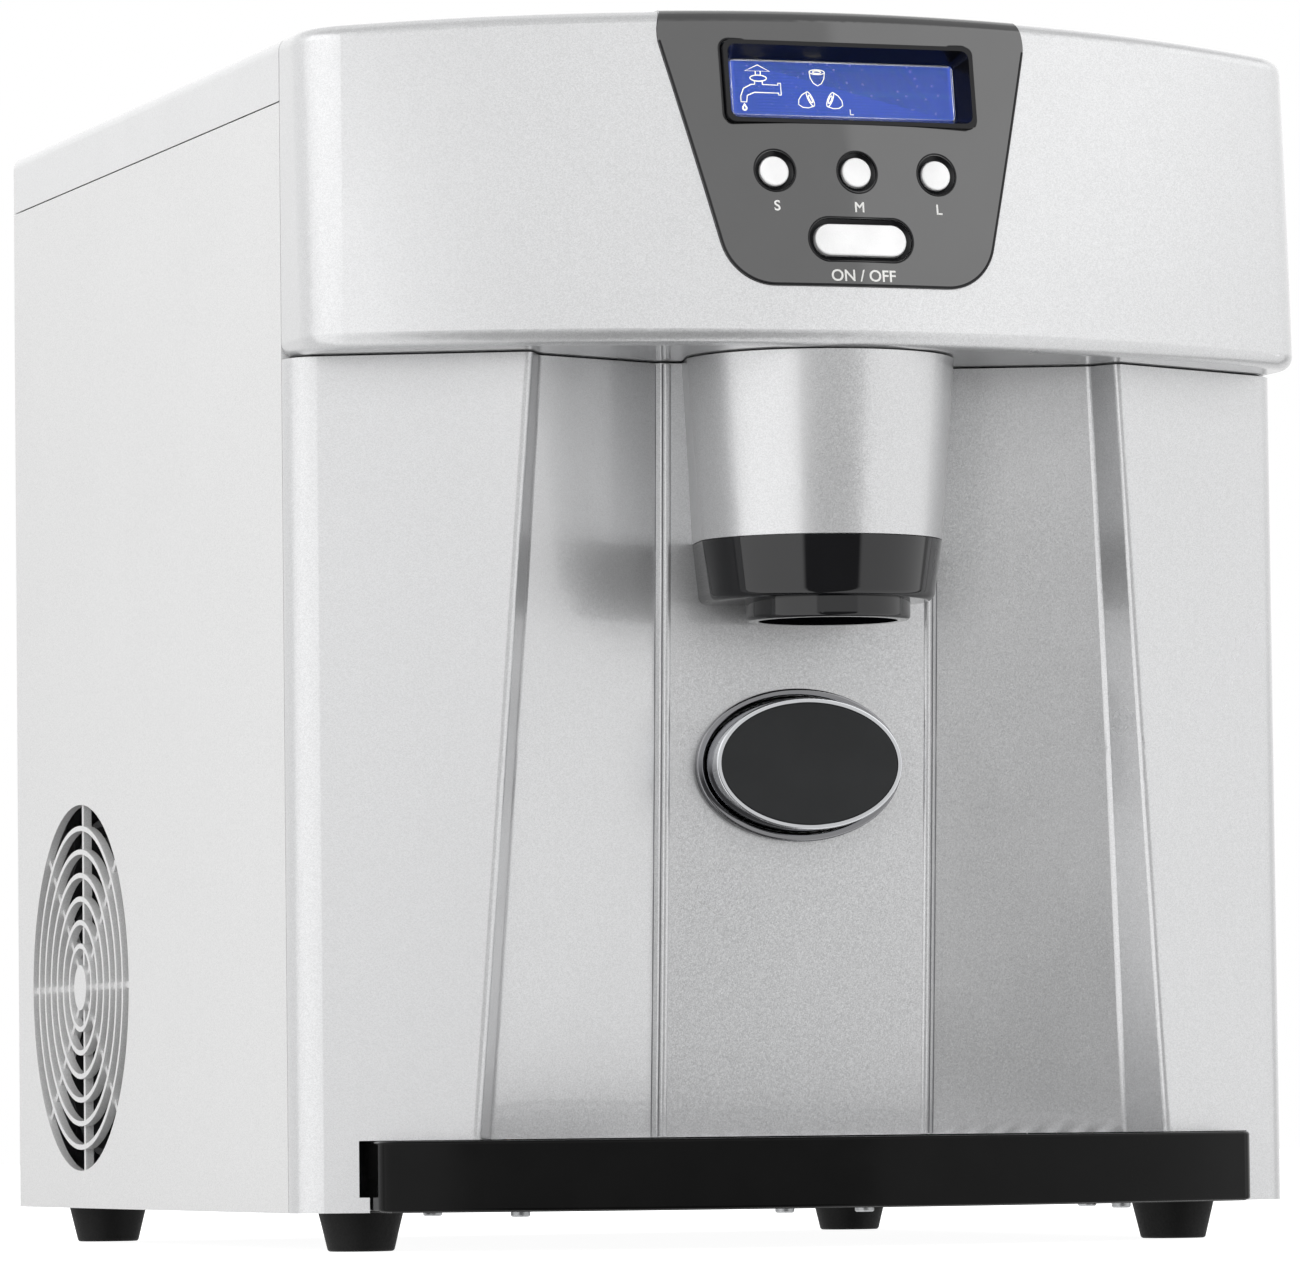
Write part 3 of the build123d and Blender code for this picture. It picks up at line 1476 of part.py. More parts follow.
bin_rear_y = tank_front_y - bin_tank_gap
bin_length = bin_rear_y - bin_front_y
bin_top = deck_top + bin_height
with BuildPart() as ice_bin:
    with BuildSketch(Plane.XY.offset(deck_top)):
        with Locations((0, (bin_front_y + bin_rear_y) / 2)):
            RectangleRounded(2 * bin_half, bin_length, bin_wall)
    extrude(amount=bin_height)
    with BuildSketch(Plane.XY.offset(auger_z)):
        with Locations((0, (bin_front_y + bin_rear_y) / 2)):
            Rectangle(2 * trough_radius, bin_length - 2 * bin_wall)
    with BuildSketch(Plane.XY.offset(bin_top)):
        with Locations((0, (bin_front_y + bin_rear_y) / 2)):
            Rectangle(2 * (bin_half - bin_wall), bin_length - 2 * bin_wall)
    loft(mode=Mode.SUBTRACT)
    with BuildSketch(Plane.XZ.offset(-bin_front_y - bin_wall)):
        with Locations((0, auger_z)):
            Circle(trough_radius)
    extrude(amount=-(bin_length - 2 * bin_wall), mode=Mode.SUBTRACT)
    with BuildSketch(Plane.XZ.offset(-bin_front_y + overrun)):
        with Locations((0, auger_z)):
            Circle(chute_half - chute_wall)
    extrude(amount=-overrun - 2 * bin_wall, mode=Mode.SUBTRACT)
    with BuildSketch(Plane.XZ.offset(-bin_rear_y - overrun)):
        with Locations((0, auger_z)):
            Circle(auger_shaft_radius + running_clearance)
    extrude(amount=overrun + 2 * bin_wall, mode=Mode.SUBTRACT)
export(ice_bin.part, "ice_bin")

auger_front_y = bin_front_y + bin_wall + auger_wire_radius
auger_coil_length = bin_length - 2 * bin_wall - 2 * auger_wire_radius - 2 * fit
with BuildPart() as auger:
    with BuildLine() as coil:
        Helix(
            pitch=auger_coil_length / auger_turns, height=auger_coil_length, radius=auger_radius,
            center=(0, auger_front_y + fit, auger_z), direction=(0, 1, 0),
        )
    with BuildSketch(Plane(origin=coil.line @ 0, z_dir=coil.line % 0)):
        Circle(auger_wire_radius)
    sweep(path=coil.line, is_frenet=True)
    shaft_front_y = auger_front_y + fit - auger_wire_radius
    with BuildSketch(Plane.XZ.offset(-shaft_front_y)):
        with Locations((0, auger_z)):
            Circle(auger_shaft_radius)
    extrude(amount=-(bin_rear_y - fit - shaft_front_y))
    for end in (coil.line @ 0, coil.line @ 1):
        spoke = Vector(0, end.Y, auger_z)
        with BuildSketch(Plane(origin=spoke, z_dir=end - spoke)):
            Circle(auger_wire_radius * 0.9)
        extrude(amount=auger_radius)
export(auger.part, "auger")

with BuildPart() as auger_motor:
    with BuildSketch(Plane.XZ.offset(-bin_rear_y)):
        with Locations((0, auger_z)):
            RectangleRounded(gear_motor_width, gear_motor_height, bin_wall)
    extrude(amount=-gear_motor_depth / 2)
    with BuildSketch(Plane.XZ.offset(-bin_rear_y - gear_motor_depth / 2)):
        with Locations((0, auger_z)):
            Circle(gear_motor_width / 3)
    extrude(amount=-gear_motor_depth / 2)
export(auger_motor.part, "auger_motor")


# Ice maker: water tank, bracket, evaporator, tilting tray and its motor

with BuildPart() as water_tank:
    with BuildSketch(Plane.XY.offset(deck_top)):
        with Locations((0, tank_front_y + tank_length / 2)):
            RectangleRounded(2 * tank_half, tank_length, 4 * tank_wall)
    extrude(amount=tank_height)
    with BuildSketch(Plane.XY.offset(deck_top + tank_wall)):
        with Locations((0, tank_front_y + tank_length / 2)):
            RectangleRounded(2 * (tank_half - tank_wall), tank_length - 2 * tank_wall, 3 * tank_wall)
    extrude(amount=tank_height, mode=Mode.SUBTRACT)
    with BuildSketch(Plane.XY.offset(deck_top)):
        with Locations((drain_x, drain_hose_y)):
            Circle(hose_bore)
    extrude(amount=tank_wall, mode=Mode.SUBTRACT)
export(water_tank.part, "water_tank")

bracket_front_y = tank_front_y - bracket_tank_lead
bracket_y = bracket_front_y + bracket_length / 2
bracket_top = panel_top - bracket_cover_gap
trunnion_y = bracket_front_y + bracket_length - trunnion_rear_gap
trunnion_height = bracket_top - trunnion_drop
fill_hose_y = trunnion_y - fill_hose_lead
fill_hose_z = bracket_top - bracket_thickness - 2 * hose_radius
plate_height = bracket_top - deck_top
with BuildPart() as ice_maker_bracket:
    for sign in (-1, 1):
        plate_x = bracket_half if sign > 0 else -bracket_half - bracket_thickness
        with BuildSketch(Plane.YZ.offset(plate_x)):
            with Locations((bracket_y, deck_top + plate_height / 2)):
                Rectangle(bracket_length, plate_height)
            with Locations((bracket_y, deck_top + plate_height * bracket_window_share / 2)):
                Rectangle(bracket_length * bracket_window_share, plate_height * bracket_window_share,
                          mode=Mode.SUBTRACT)
            with Locations((trunnion_y, trunnion_height)):
                Circle(trunnion_radius + running_clearance, mode=Mode.SUBTRACT)
            if sign < 0:
                with Locations((fill_hose_y, fill_hose_z)):
                    Circle(hose_radius + fit, mode=Mode.SUBTRACT)
        extrude(amount=bracket_thickness)
    with BuildSketch(Plane.XY.offset(bracket_top - bracket_thickness)):
        with Locations((0, bracket_y - bracket_length / 5)):
            Rectangle(2 * bracket_half, bracket_length * 3 / 5)
    extrude(amount=bracket_thickness)
export(ice_maker_bracket.part, "ice_maker_bracket")

evaporator_z = bracket_top - bracket_thickness - evaporator_tube_radius
row_front_y = bracket_front_y + bracket_length * 2 / 5 - evaporator_row_gap / 2
row_rear_y = row_front_y + evaporator_row_gap
with BuildPart() as evaporator:
    for row_y in (row_front_y, row_rear_y):
        with BuildSketch(Plane.YZ.offset(-evaporator_half)):
            with Locations((row_y, evaporator_z)):
                Circle(evaporator_tube_radius)
        extrude(amount=2 * evaporator_half)
        with BuildSketch(Plane.XY.offset(evaporator_z - finger_length)):
            with Locations((0, row_y)):
                with GridLocations(finger_pitch, finger_pitch, finger_columns, 1):
                    Circle(finger_radius)
        extrude(amount=finger_length)
    with BuildSketch(Plane.XZ.offset(-row_rear_y)):
        with Locations((evaporator_half - evaporator_tube_radius, evaporator_z)):
            Circle(evaporator_tube_radius * 4 / 5)
    extrude(amount=evaporator_row_gap)
    fillet(evaporator.edges().group_by(Axis.Z)[0], finger_radius / 3)
export(evaporator.part, "evaporator")

freezing_front_y = bracket_front_y + freezing_tray_inset
freezing_tray_bottom = trunnion_height - trunnion_radius - freezing_tray_height
with BuildPart() as freezing_tray:
    with BuildSketch(Plane.XY.offset(freezing_tray_bottom)):
        with Locations((0, freezing_front_y + freezing_tray_length / 2)):
            RectangleRounded(2 * freezing_tray_half, freezing_tray_length, 2 * freezing_tray_wall)
    extrude(amount=freezing_tray_height)
    with BuildSketch(Plane.XY.offset(freezing_tray_bottom + freezing_tray_wall)):
        with Locations((0, freezing_front_y + freezing_tray_length / 2)):
            RectangleRounded(
                2 * (freezing_tray_half - freezing_tray_wall), freezing_tray_length - 2 * freezing_tray_wall,
                freezing_tray_wall,
            )
    extrude(amount=freezing_tray_height, mode=Mode.SUBTRACT)
    for sign in (-1, 1):
        ear_x = sign * (freezing_tray_half + freezing_tray_wall)
        with BuildSketch(Plane.YZ.offset(ear_x - freezing_tray_wall)):
            with Locations((trunnion_y, trunnion_height)):
                Circle(2 * trunnion_radius)
            with Locations((trunnion_y - 2 * trunnion_radius, trunnion_height - 2 * trunnion_radius)):
                Rectangle(3 * trunnion_radius, 4 * trunnion_radius)
        extrude(amount=2 * freezing_tray_wall)
    with BuildSketch(Plane.YZ.offset(-bracket_half - bracket_thickness + fit)):
        with Locations((trunnion_y, trunnion_height)):
            Circle(trunnion_radius)
    extrude(amount=bracket_half - freezing_tray_half - fit)
    with BuildSketch(Plane.YZ.offset(bracket_half + bracket_thickness - fit)):
        with Locations((trunnion_y, trunnion_height)):
            Circle(trunnion_radius)
    extrude(amount=-(bracket_half - freezing_tray_half - fit))
export(freezing_tray.part, "freezing_tray")

with BuildPart() as tilt_motor:
    with BuildSketch(Plane.YZ.offset(bracket_half + bracket_thickness)):
        with Locations((trunnion_y, trunnion_height - tilt_motor_height / 4)):
            RectangleRounded(tilt_motor_depth, tilt_motor_height, 2 * tank_wall)
    extrude(amount=tilt_motor_width)
export(tilt_motor.part, "tilt_motor")


# Pumps and hoses

pump_x = -(bin_half + pump_bin_gap + pump_radius)
dispense_pump_y = fill_hose_y - pump_pitch
for name, pump_y in (("circulation_pump", fill_hose_y), ("dispense_pump", dispense_pump_y)):
    with BuildPart() as pump:
        with BuildSketch(Plane.XY.offset(deck_top)):
            with Locations((pump_x, pump_y)):
                Circle(pump_radius)
        extrude(amount=pump_height)
        fillet(pump.edges().group_by(Axis.Z)[-1], pump_port_radius)
        with BuildSketch(Plane.XY.offset(deck_top + pump_height)):
            with Locations((pump_x, pump_y)):
                Circle(pump_port_radius)
        extrude(amount=pump_port_length)
    export(pump.part, name)

port_top = deck_top + pump_height + pump_port_length
fill_hose = pipe(
    [
        (pump_x, fill_hose_y, port_top), (pump_x, fill_hose_y, fill_hose_z),
        (-freezing_tray_half + 2 * hose_radius, fill_hose_y, fill_hose_z),
    ],
    hose_radius, hose_bend, hose_bore,
)
export(fill_hose, "fill_hose")

hose_lane_y = bin_front_y - hose_radius - 2 * fit
dispense_hose = pipe(
    [
        (pump_x, dispense_pump_y, port_top), (pump_x, dispense_pump_y, hose_z),
        (pump_x, hose_lane_y, hose_z), (hose_x, hose_lane_y, hose_z),
        (hose_x, spout_y - hose_radius, hose_z), (hose_x, spout_y - hose_radius, spout_bottom),
    ],
    hose_radius, hose_bend, hose_bore,
)
export(dispense_hose, "dispense_hose")

drain_port_y = rear_back - drain_length
drain_hose = pipe(
    [
        (drain_x, drain_hose_y, deck_top), (drain_x, drain_hose_y, drain_z),
        (drain_x, drain_port_y, drain_z),
    ],
    hose_radius, (drain_port_y - drain_hose_y) * 0.9, hose_bore,
)
export(drain_hose, "drain_hose")


# Compressor, condenser, fan and refrigerant tubes

compressor_x = inner_half - compressor_side_gap - compressor_plate / 2
compressor_y = rear_back - compressor_rear_gap - compressor_plate / 2
mount_reach = compressor_plate / 2 - mount_inset
mount_places = [
    (compressor_x + sign_x * mount_reach, compressor_y + sign_y * mount_reach)
    for sign_x in (-1, 1) for sign_y in (-1, 1)
]
plate_z = base_top + mount_height
discharge_x = compressor_x + compressor_port_reach
return_x = compressor_x - compressor_port_reach
with BuildPart() as compressor_mounts:
    with BuildSketch(Plane.XY.offset(base_top)):
        with Locations(*mount_places):
            Circle(mount_radius)
    extrude(amount=mount_height)
    fillet(compressor_mounts.edges().filter_by(GeomType.CIRCLE), mount_radius / 5)
export(compressor_mounts.part, "compressor_mounts")

with BuildPart() as compressor:
    with BuildSketch(Plane.XY.offset(plate_z + compressor_plate_thickness)):
        with Locations((compressor_x, compressor_y)):
            Circle(compressor_radius)
    extrude(amount=compressor_height)
    fillet(compressor.edges().filter_by(GeomType.CIRCLE), compressor_dome)
    with BuildSketch(Plane.XY.offset(plate_z)):
        with Locations((compressor_x, compressor_y)):
            RectangleRounded(compressor_plate, compressor_plate, mount_inset)
    extrude(amount=compressor_plate_thickness + compressor_dome / 4)
    with BuildSketch(Plane.XZ.offset(-compressor_y)):
        with Locations((compressor_x, plate_z + compressor_height / 2)):
            RectangleRounded(compressor_radius, compressor_radius, copper_radius)
    extrude(amount=compressor_radius + compressor_dome / 2)
    with BuildSketch(Plane.XY.offset(plate_z + compressor_plate_thickness)):
        with Locations((return_x, compressor_y), (discharge_x, compressor_y)):
            Circle(copper_radius * 4 / 3)
    extrude(amount=compressor_height + copper_radius)
export(compressor.part, "compressor")

condenser_front_y = rear_back - condenser_rear_gap - condenser_length
fin_count = int(condenser_length / condenser_fin_pitch)
condenser_top = base_top + condenser_height
tube_pitch = condenser_height / condenser_tube_rows
with BuildPart() as condenser:
    for place in range(fin_count + 1):
        fin_y = condenser_front_y + place * condenser_length / fin_count
        fin = condenser_fin if 0 < place < fin_count else 2 * condenser_fin
        with BuildSketch(Plane.XZ.offset(-fin_y - fin / 2)):
            with Locations((condenser_x, base_top + condenser_height / 2)):
                Rectangle(condenser_depth, condenser_height)
        extrude(amount=fin)
    with BuildSketch(Plane.XZ.offset(-condenser_front_y + 2 * condenser_fin)):
        for row in range(condenser_tube_rows):
            with Locations((condenser_x, base_top + tube_pitch * (row + 1 / 2))):
                Circle(condenser_tube_radius)
    extrude(amount=-(condenser_length + 4 * condenser_fin))
    with BuildSketch(Plane.XY.offset(base_top + tube_pitch * (condenser_tube_rows - 1 / 2))):
        with Locations((condenser_x, compressor_y)):
            Circle(copper_radius)
    extrude(amount=tube_pitch / 2 + condenser_tube_radius)
export(condenser.part, "condenser")

fan_front_x = -inner_half + grille_spoke_depth + fan_gap
fan_rear_x = fan_front_x + fan_hub_depth
with BuildPart() as fan:
    with BuildSketch(Plane.YZ.offset(fan_front_x)):
        with Locations((grille_y, grille_height)):
            Circle(fan_hub_radius)
    extrude(amount=fan_hub_depth)
    fillet(fan.edges().group_by(Axis.X)[0], fan_blade_thickness)
    blade_mid = fan_hub_radius + (fan_radius - fan_hub_radius) / 2
    for blade in range(fan_blade_count):
        spin = Rot(X=360 * blade / fan_blade_count)
        place = Pos(fan_front_x + fan_hub_depth / 2, grille_y, grille_height) * spin
        twist = Pos(Z=blade_mid) * Rot(Z=fan_blade_angle)
        reach = fan_radius - fan_hub_radius + 2 * fan_blade_thickness
        add(place * twist * Box(fan_blade_thickness, fan_hub_radius * 3 / 2, reach, mode=Mode.PRIVATE))
    with BuildSketch(Plane.YZ.offset(fan_front_x)):
        with Locations((grille_y, grille_height)):
            Circle(fan_radius)
    extrude(amount=fan_hub_depth, mode=Mode.INTERSECT)
export(fan.part, "fan")

motor_x = fan_rear_x + fit
shroud_x = motor_x + fan_motor_length
with BuildPart() as fan_motor:
    with BuildSketch(Plane.YZ.offset(motor_x)):
        with Locations((grille_y, grille_height)):
            Circle(fan_motor_radius)
    extrude(amount=fan_motor_length)
    fillet(fan_motor.edges().group_by(Axis.X)[0], fan_motor_radius / 6)
export(fan_motor.part, "fan_motor")

shroud_inner = fan_radius + shroud_clearance
shroud_half = shroud_inner + shroud_wall
with BuildPart() as fan_shroud:
    with BuildSketch(Plane.YZ.offset(shroud_x)):
        with Locations((grille_y, grille_height)):
            Rectangle(2 * shroud_half, 2 * shroud_half)
            Circle(shroud_inner, mode=Mode.SUBTRACT)
            Circle(fan_motor_radius + shroud_wall)
            Rectangle(2 * shroud_half, shroud_arm)
            Rectangle(shroud_arm, 2 * shroud_half)
        with Locations((grille_y, (base_top + grille_height - shroud_half) / 2)):
            Rectangle(2 * shroud_half, grille_height - shroud_half - base_top)
    extrude(amount=shroud_plate)
    with BuildSketch(Plane.YZ.offset(shroud_x)):
        with Locations((grille_y, grille_height)):
            Circle(shroud_half)
            Circle(shroud_inner, mode=Mode.SUBTRACT)
    extrude(amount=-(shroud_x - fan_front_x + fan_gap / 2))
export(fan_shroud.part, "fan_shroud")

lane_z = deck_height - copper_bend - copper_radius
stub_top = plate_z + compressor_plate_thickness + compressor_height + copper_radius
drier_low = base_top + condenser_height / 3
copper_front_y = condenser_front_y - 2 * condenser_fin
low_tube_z = base_top + tube_pitch / 2
evaporator_end_y = row_front_y - evaporator_tube_radius - fit
drier_y = riser_y
drier = Pos(liquid_x, drier_y, drier_low + drier_length / 2) * Cylinder(drier_radius, drier_length)
drier = chamfer(drier.edges().filter_by(GeomType.CIRCLE), drier_taper / 2)
with BuildPart() as refrigerant_tubes:
    add(pipe(
        [
            (discharge_x, compressor_y, stub_top), (discharge_x, compressor_y, lane_z),
            (condenser_x, compressor_y, lane_z),
            (condenser_x, compressor_y, condenser_top + condenser_tube_radius),
        ],
        copper_radius, copper_bend,
    ))
    add(pipe(
        [
            (condenser_x, copper_front_y, low_tube_z), (condenser_x, drier_y, low_tube_z),
            (liquid_x, drier_y, low_tube_z), (liquid_x, drier_y, drier_low),
        ],
        copper_radius, copper_bend,
    ))
    add(drier)
    add(pipe(
        [
            (liquid_x, drier_y, drier_low + drier_length), (liquid_x, drier_y, evaporator_z),
            (liquid_x, evaporator_end_y, evaporator_z),
        ],
        copper_radius, copper_bend,
    ))
    add(pipe(
        [
            (suction_x, evaporator_end_y, evaporator_z), (suction_x, riser_y, evaporator_z),
            (suction_x, riser_y, lane_z), (return_x, riser_y, lane_z),
            (return_x, compressor_y, lane_z), (return_x, compressor_y, stub_top),
        ],
        copper_radius, copper_bend,
    ))
export(refrigerant_tubes.part, "refrigerant_tubes")


# Power board and wiring

power_board_x = inner_half - power_board_side_gap - power_board_width / 2
power_board_y = seam_y + power_board_set
board_base = base_top + power_board_rise
with BuildPart() as power_board:
    with BuildSketch(Plane.XY.offset(board_base)):
        with Locations((power_board_x, power_board_y)):
            Rectangle(power_board_width, power_board_length)
    extrude(amount=board_thickness)
    with BuildSketch(Plane.XY.offset(base_top)):
        with Locations((power_board_x, power_board_y)):
            standoff_inset = 4 * standoff_radius
            with GridLocations(power_board_width - standoff_inset, power_board_length - standoff_inset, 2, 2):
                Circle(standoff_radius)
    extrude(amount=power_board_rise + board_thickness / 2)
    with BuildSketch(Plane.XY.offset(board_base + board_thickness / 2)):
        with Locations((power_board_x - power_board_width / 4, power_board_y + power_board_length / 4)):
            RectangleRounded(power_board_width / 3, power_board_length / 3, standoff_radius)
    extrude(amount=power_board_width / 3)
    with BuildSketch(Plane.XY.offset(board_base + board_thickness / 2)):
        with Locations((power_board_x, power_board_y - power_board_length / 4)):
            with GridLocations(power_board_width / 4, power_board_length / 4, 3, 1):
                Rectangle(power_board_width / 6, power_board_length / 6)
    extrude(amount=power_board_width / 6)
    with BuildSketch(Plane.XY.offset(board_base + board_thickness / 2)):
        with Locations((power_board_x + power_board_width / 4, power_board_y + power_board_length / 5)):
            Circle(power_board_width / 9)
    extrude(amount=power_board_width / 4)
export(power_board.part, "power_board")

harness_x = (deck_half + inner_half) / 2
harness_z = display_z - bezel_height
harness_y = power_board_y - power_board_length / 4
harness_end_y = head_front_y(harness_z) + (board_depth + 3 * board_thickness) / cos(panel_lean)
harness_board_x = board_width / 4
board_lane_z = board_base + board_thickness / 2 + power_board_width / 6
wiring_harness = pipe(
    [
        (power_board_x + power_board_width / 4, harness_y, board_lane_z),
        (power_board_x + power_board_width / 4, harness_y, board_lane_z + 2 * harness_bend),
        (harness_x, harness_y, board_lane_z + 3 * harness_bend),
        (harness_x, harness_y, harness_z),
        (harness_x, seam_y - harness_bend, harness_z),
        (harness_board_x, seam_y - harness_bend, harness_z),
        (harness_board_x, harness_end_y, harness_z),
    ],
    harness_radius, harness_bend * 0.9,
)
export(wiring_harness, "wiring_harness")
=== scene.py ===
import math

import bmesh
import bpy
from mathutils import Matrix, Vector


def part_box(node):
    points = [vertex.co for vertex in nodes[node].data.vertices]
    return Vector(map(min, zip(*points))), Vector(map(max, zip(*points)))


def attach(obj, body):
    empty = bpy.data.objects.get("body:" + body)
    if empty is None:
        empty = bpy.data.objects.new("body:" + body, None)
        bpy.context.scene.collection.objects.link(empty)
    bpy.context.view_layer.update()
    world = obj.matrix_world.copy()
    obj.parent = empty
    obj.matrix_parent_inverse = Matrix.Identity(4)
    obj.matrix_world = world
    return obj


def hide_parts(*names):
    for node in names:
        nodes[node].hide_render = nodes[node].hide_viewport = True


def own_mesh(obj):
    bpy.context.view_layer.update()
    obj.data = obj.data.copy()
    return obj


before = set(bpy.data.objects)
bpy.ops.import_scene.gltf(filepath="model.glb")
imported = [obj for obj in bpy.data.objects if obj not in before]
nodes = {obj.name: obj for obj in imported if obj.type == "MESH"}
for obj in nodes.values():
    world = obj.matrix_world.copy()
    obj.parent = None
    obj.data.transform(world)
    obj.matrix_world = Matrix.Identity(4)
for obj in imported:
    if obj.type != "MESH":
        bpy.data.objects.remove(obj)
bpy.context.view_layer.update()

MM = 0.001

# Places and sizes taken from the model, lengths in millimetres
SEAM_Y = -140.525
BODY_BOTTOM = 13.5
SHELL_HEIGHT = 291.5
HEAD_BOTTOM = 305.5
CROWN_Z = 422.0
BAY_FOOT_REACH = 0.5
BAY_LEAN_RUN = 15.5
BAY_LEAN_BULGE = 0.4
HEAD_REACH = 84.0
HEAD_LEAN_RUN = 18.5
HEAD_LEAN_BULGE = 0.36
BUTTON_SHARE = 0.51759
BUTTON_PITCH = 29.4
BUTTON_Z = 365.8
POWER_Z = 342.3
DISPLAY_Z = 396.8
DISPLAY_DEPTH = 8.0
CONTROL_LEAN = math.radians(9.341)
BUTTON_SETBACK = HEAD_LEAN_RUN * BUTTON_SHARE * (1 - HEAD_LEAN_BULGE * (1 - BUTTON_SHARE))
CONTROL_Y = SEAM_Y - HEAD_REACH + BUTTON_SETBACK

UP_THE_FACE = Vector((0, math.sin(CONTROL_LEAN), math.cos(CONTROL_LEAN)))
INTO_THE_FACE = Vector((0, math.cos(CONTROL_LEAN), -math.sin(CONTROL_LEAN)))


def control_point(x, rise, depth=0.0):
    """A point on the leaning control face, from the middle button, sunk by a depth."""
    return (Vector((x, CONTROL_Y, BUTTON_Z)) + UP_THE_FACE * rise + INTO_THE_FACE * depth) * MM


def control_rise(height):
    """The way up the leaning face from the middle button to a height."""
    return (height - BUTTON_Z) / math.cos(CONTROL_LEAN)


def bay_reach(height):
    """How far the bay's centre panel stands in front of the seam at a height."""
    share = (height - BODY_BOTTOM) / SHELL_HEIGHT
    return BAY_FOOT_REACH + BAY_LEAN_RUN * share * (1 + BAY_LEAN_BULGE * (1 - share))


# Materials

def new_material(name):
    """An empty material, its node tree and its shader."""
    material = bpy.data.materials.new(name)
    material.use_nodes = True
    return material, material.node_tree, material.node_tree.nodes["Principled BSDF"]


def put(tree, kind, settings=None, **inputs):
    """Add a node, set its properties and its sockets, and return it."""
    node = tree.nodes.new(kind)
    for key, value in (settings or {}).items():
        setattr(node, key, value)
    for key, value in inputs.items():
        node.inputs[key.replace("_", " ")].default_value = value
    return node


def place(tree, stretch=(1, 1, 1)):
    """Coordinates fixed to the object, stretched along its axes."""
    source = put(tree, "ShaderNodeTexCoord")
    mapping = put(tree, "ShaderNodeMapping", Scale=stretch)
    tree.links.new(source.outputs["Object"], mapping.inputs["Vector"])
    return mapping.outputs["Vector"]


def noise(tree, scale, detail=3.0, stretch=(1, 1, 1)):
    """Cloudy noise from nothing to one; the scale counts its patches in a metre."""
    node = put(tree, "ShaderNodeTexNoise", Scale=scale, Detail=detail)
    tree.links.new(place(tree, stretch), node.inputs["Vector"])
    return node.outputs["Fac"]


def colours(tree, shader, factor, dark, light, socket="Base Color", low=0.3, high=0.7):
    """Blend two colours by a factor into a socket of the shader."""
    ramp = put(tree, "ShaderNodeValToRGB")
    ramp.color_ramp.elements[0].position = low
    ramp.color_ramp.elements[0].color = (*dark, 1)
    ramp.color_ramp.elements[1].position = high
    ramp.color_ramp.elements[1].color = (*light, 1)
    tree.links.new(factor, ramp.inputs["Fac"])
    tree.links.new(ramp.outputs["Color"], shader.inputs[socket])


def spread(tree, shader, factor, low, high):
    """Vary the roughness by a factor."""
    node = put(tree, "ShaderNodeMapRange", From_Min=0.3, From_Max=0.7, To_Min=low, To_Max=high)
    tree.links.new(factor, node.inputs["Value"])
    tree.links.new(node.outputs["Result"], shader.inputs["Roughness"])


def bump(tree, shader, factor, strength, depth_mm):
    """Give the surface a fine relief by a factor."""
    node = put(tree, "ShaderNodeBump", Strength=strength, Distance=depth_mm * MM)
    tree.links.new(factor, node.inputs["Height"])
    tree.links.new(node.outputs["Normal"], shader.inputs["Normal"])


def shade(colour, factor):
    """The colour made darker or lighter, never above white."""
    return tuple(min(1.0, channel * factor) for channel in colour)


def flake_paint(name, colour, metallic=0.64, roughness=0.3, coat=0.9, flake_mm=0.3, sparkle=0.075):
    """Silver paint: fine bright flakes tilted at random under a smooth clear coat."""
    material, tree, shader = new_material(name)
    shader.inputs["Metallic"].default_value = metallic
    shader.inputs["Coat Weight"].default_value = coat
    shader.inputs["Coat Roughness"].default_value = 0.04
    cells = put(tree, "ShaderNodeTexVoronoi", Scale=1 / (flake_mm * MM))
    tree.links.new(place(tree), cells.inputs["Vector"])
    parts = put(tree, "ShaderNodeSeparateColor")
    tree.links.new(cells.outputs["Color"], parts.inputs["Color"])
    dull, bright = shade(colour, 0.9), shade(colour, 1.09)
    colours(tree, shader, parts.outputs["Red"], dull, bright, low=0.05, high=0.95)
    spread(tree, shader, noise(tree, scale=18), roughness - 0.03, roughness + 0.05)
    centred = put(tree, "ShaderNodeVectorMath", {"operation": "SUBTRACT"})
    centred.inputs[1].default_value = (0.5, 0.5, 0.5)
    tree.links.new(cells.outputs["Color"], centred.inputs[0])
    scaled = put(tree, "ShaderNodeVectorMath", {"operation": "SCALE"}, Scale=sparkle)
    tree.links.new(centred.outputs["Vector"], scaled.inputs[0])
    surface = put(tree, "ShaderNodeNewGeometry")
    tilted = put(tree, "ShaderNodeVectorMath", {"operation": "ADD"})
    tree.links.new(surface.outputs["Normal"], tilted.inputs[0])
    tree.links.new(scaled.outputs["Vector"], tilted.inputs[1])
    unit = put(tree, "ShaderNodeVectorMath", {"operation": "NORMALIZE"})
    tree.links.new(tilted.outputs["Vector"], unit.inputs[0])
    tree.links.new(unit.outputs["Vector"], shader.inputs["Normal"])
    return material


def gloss(name, colour, roughness=0.07, specular=0.35, coat=0.0):
    """Polished moulded plastic with faint polishing haze."""
    material, tree, shader = new_material(name)
    shader.inputs["Specular IOR Level"].default_value = specular
    shader.inputs["Coat Weight"].default_value = coat
    haze = noise(tree, scale=60, detail=6)
    colours(tree, shader, haze, shade(colour, 0.85), shade(colour, 1.2))
    spread(tree, shader, haze, roughness, roughness + 0.05)
    bump(tree, shader, noise(tree, scale=35, detail=2), 0.05, 0.3)
    return material


def moulded(name, colour, roughness=0.55, grain_mm=0.5, relief=0.25, specular=0.4):
    """Matt moulded plastic with a fine spark-eroded grain."""
    material, tree, shader = new_material(name)
    shader.inputs["Specular IOR Level"].default_value = specular
    colours(tree, shader, noise(tree, scale=45, detail=4), shade(colour, 0.9), shade(colour, 1.1))
    grain = noise(tree, scale=1 / (grain_mm * MM), detail=2)
    spread(tree, shader, grain, roughness - 0.08, roughness + 0.08)
    bump(tree, shader, grain, relief, grain_mm / 4)
    return material


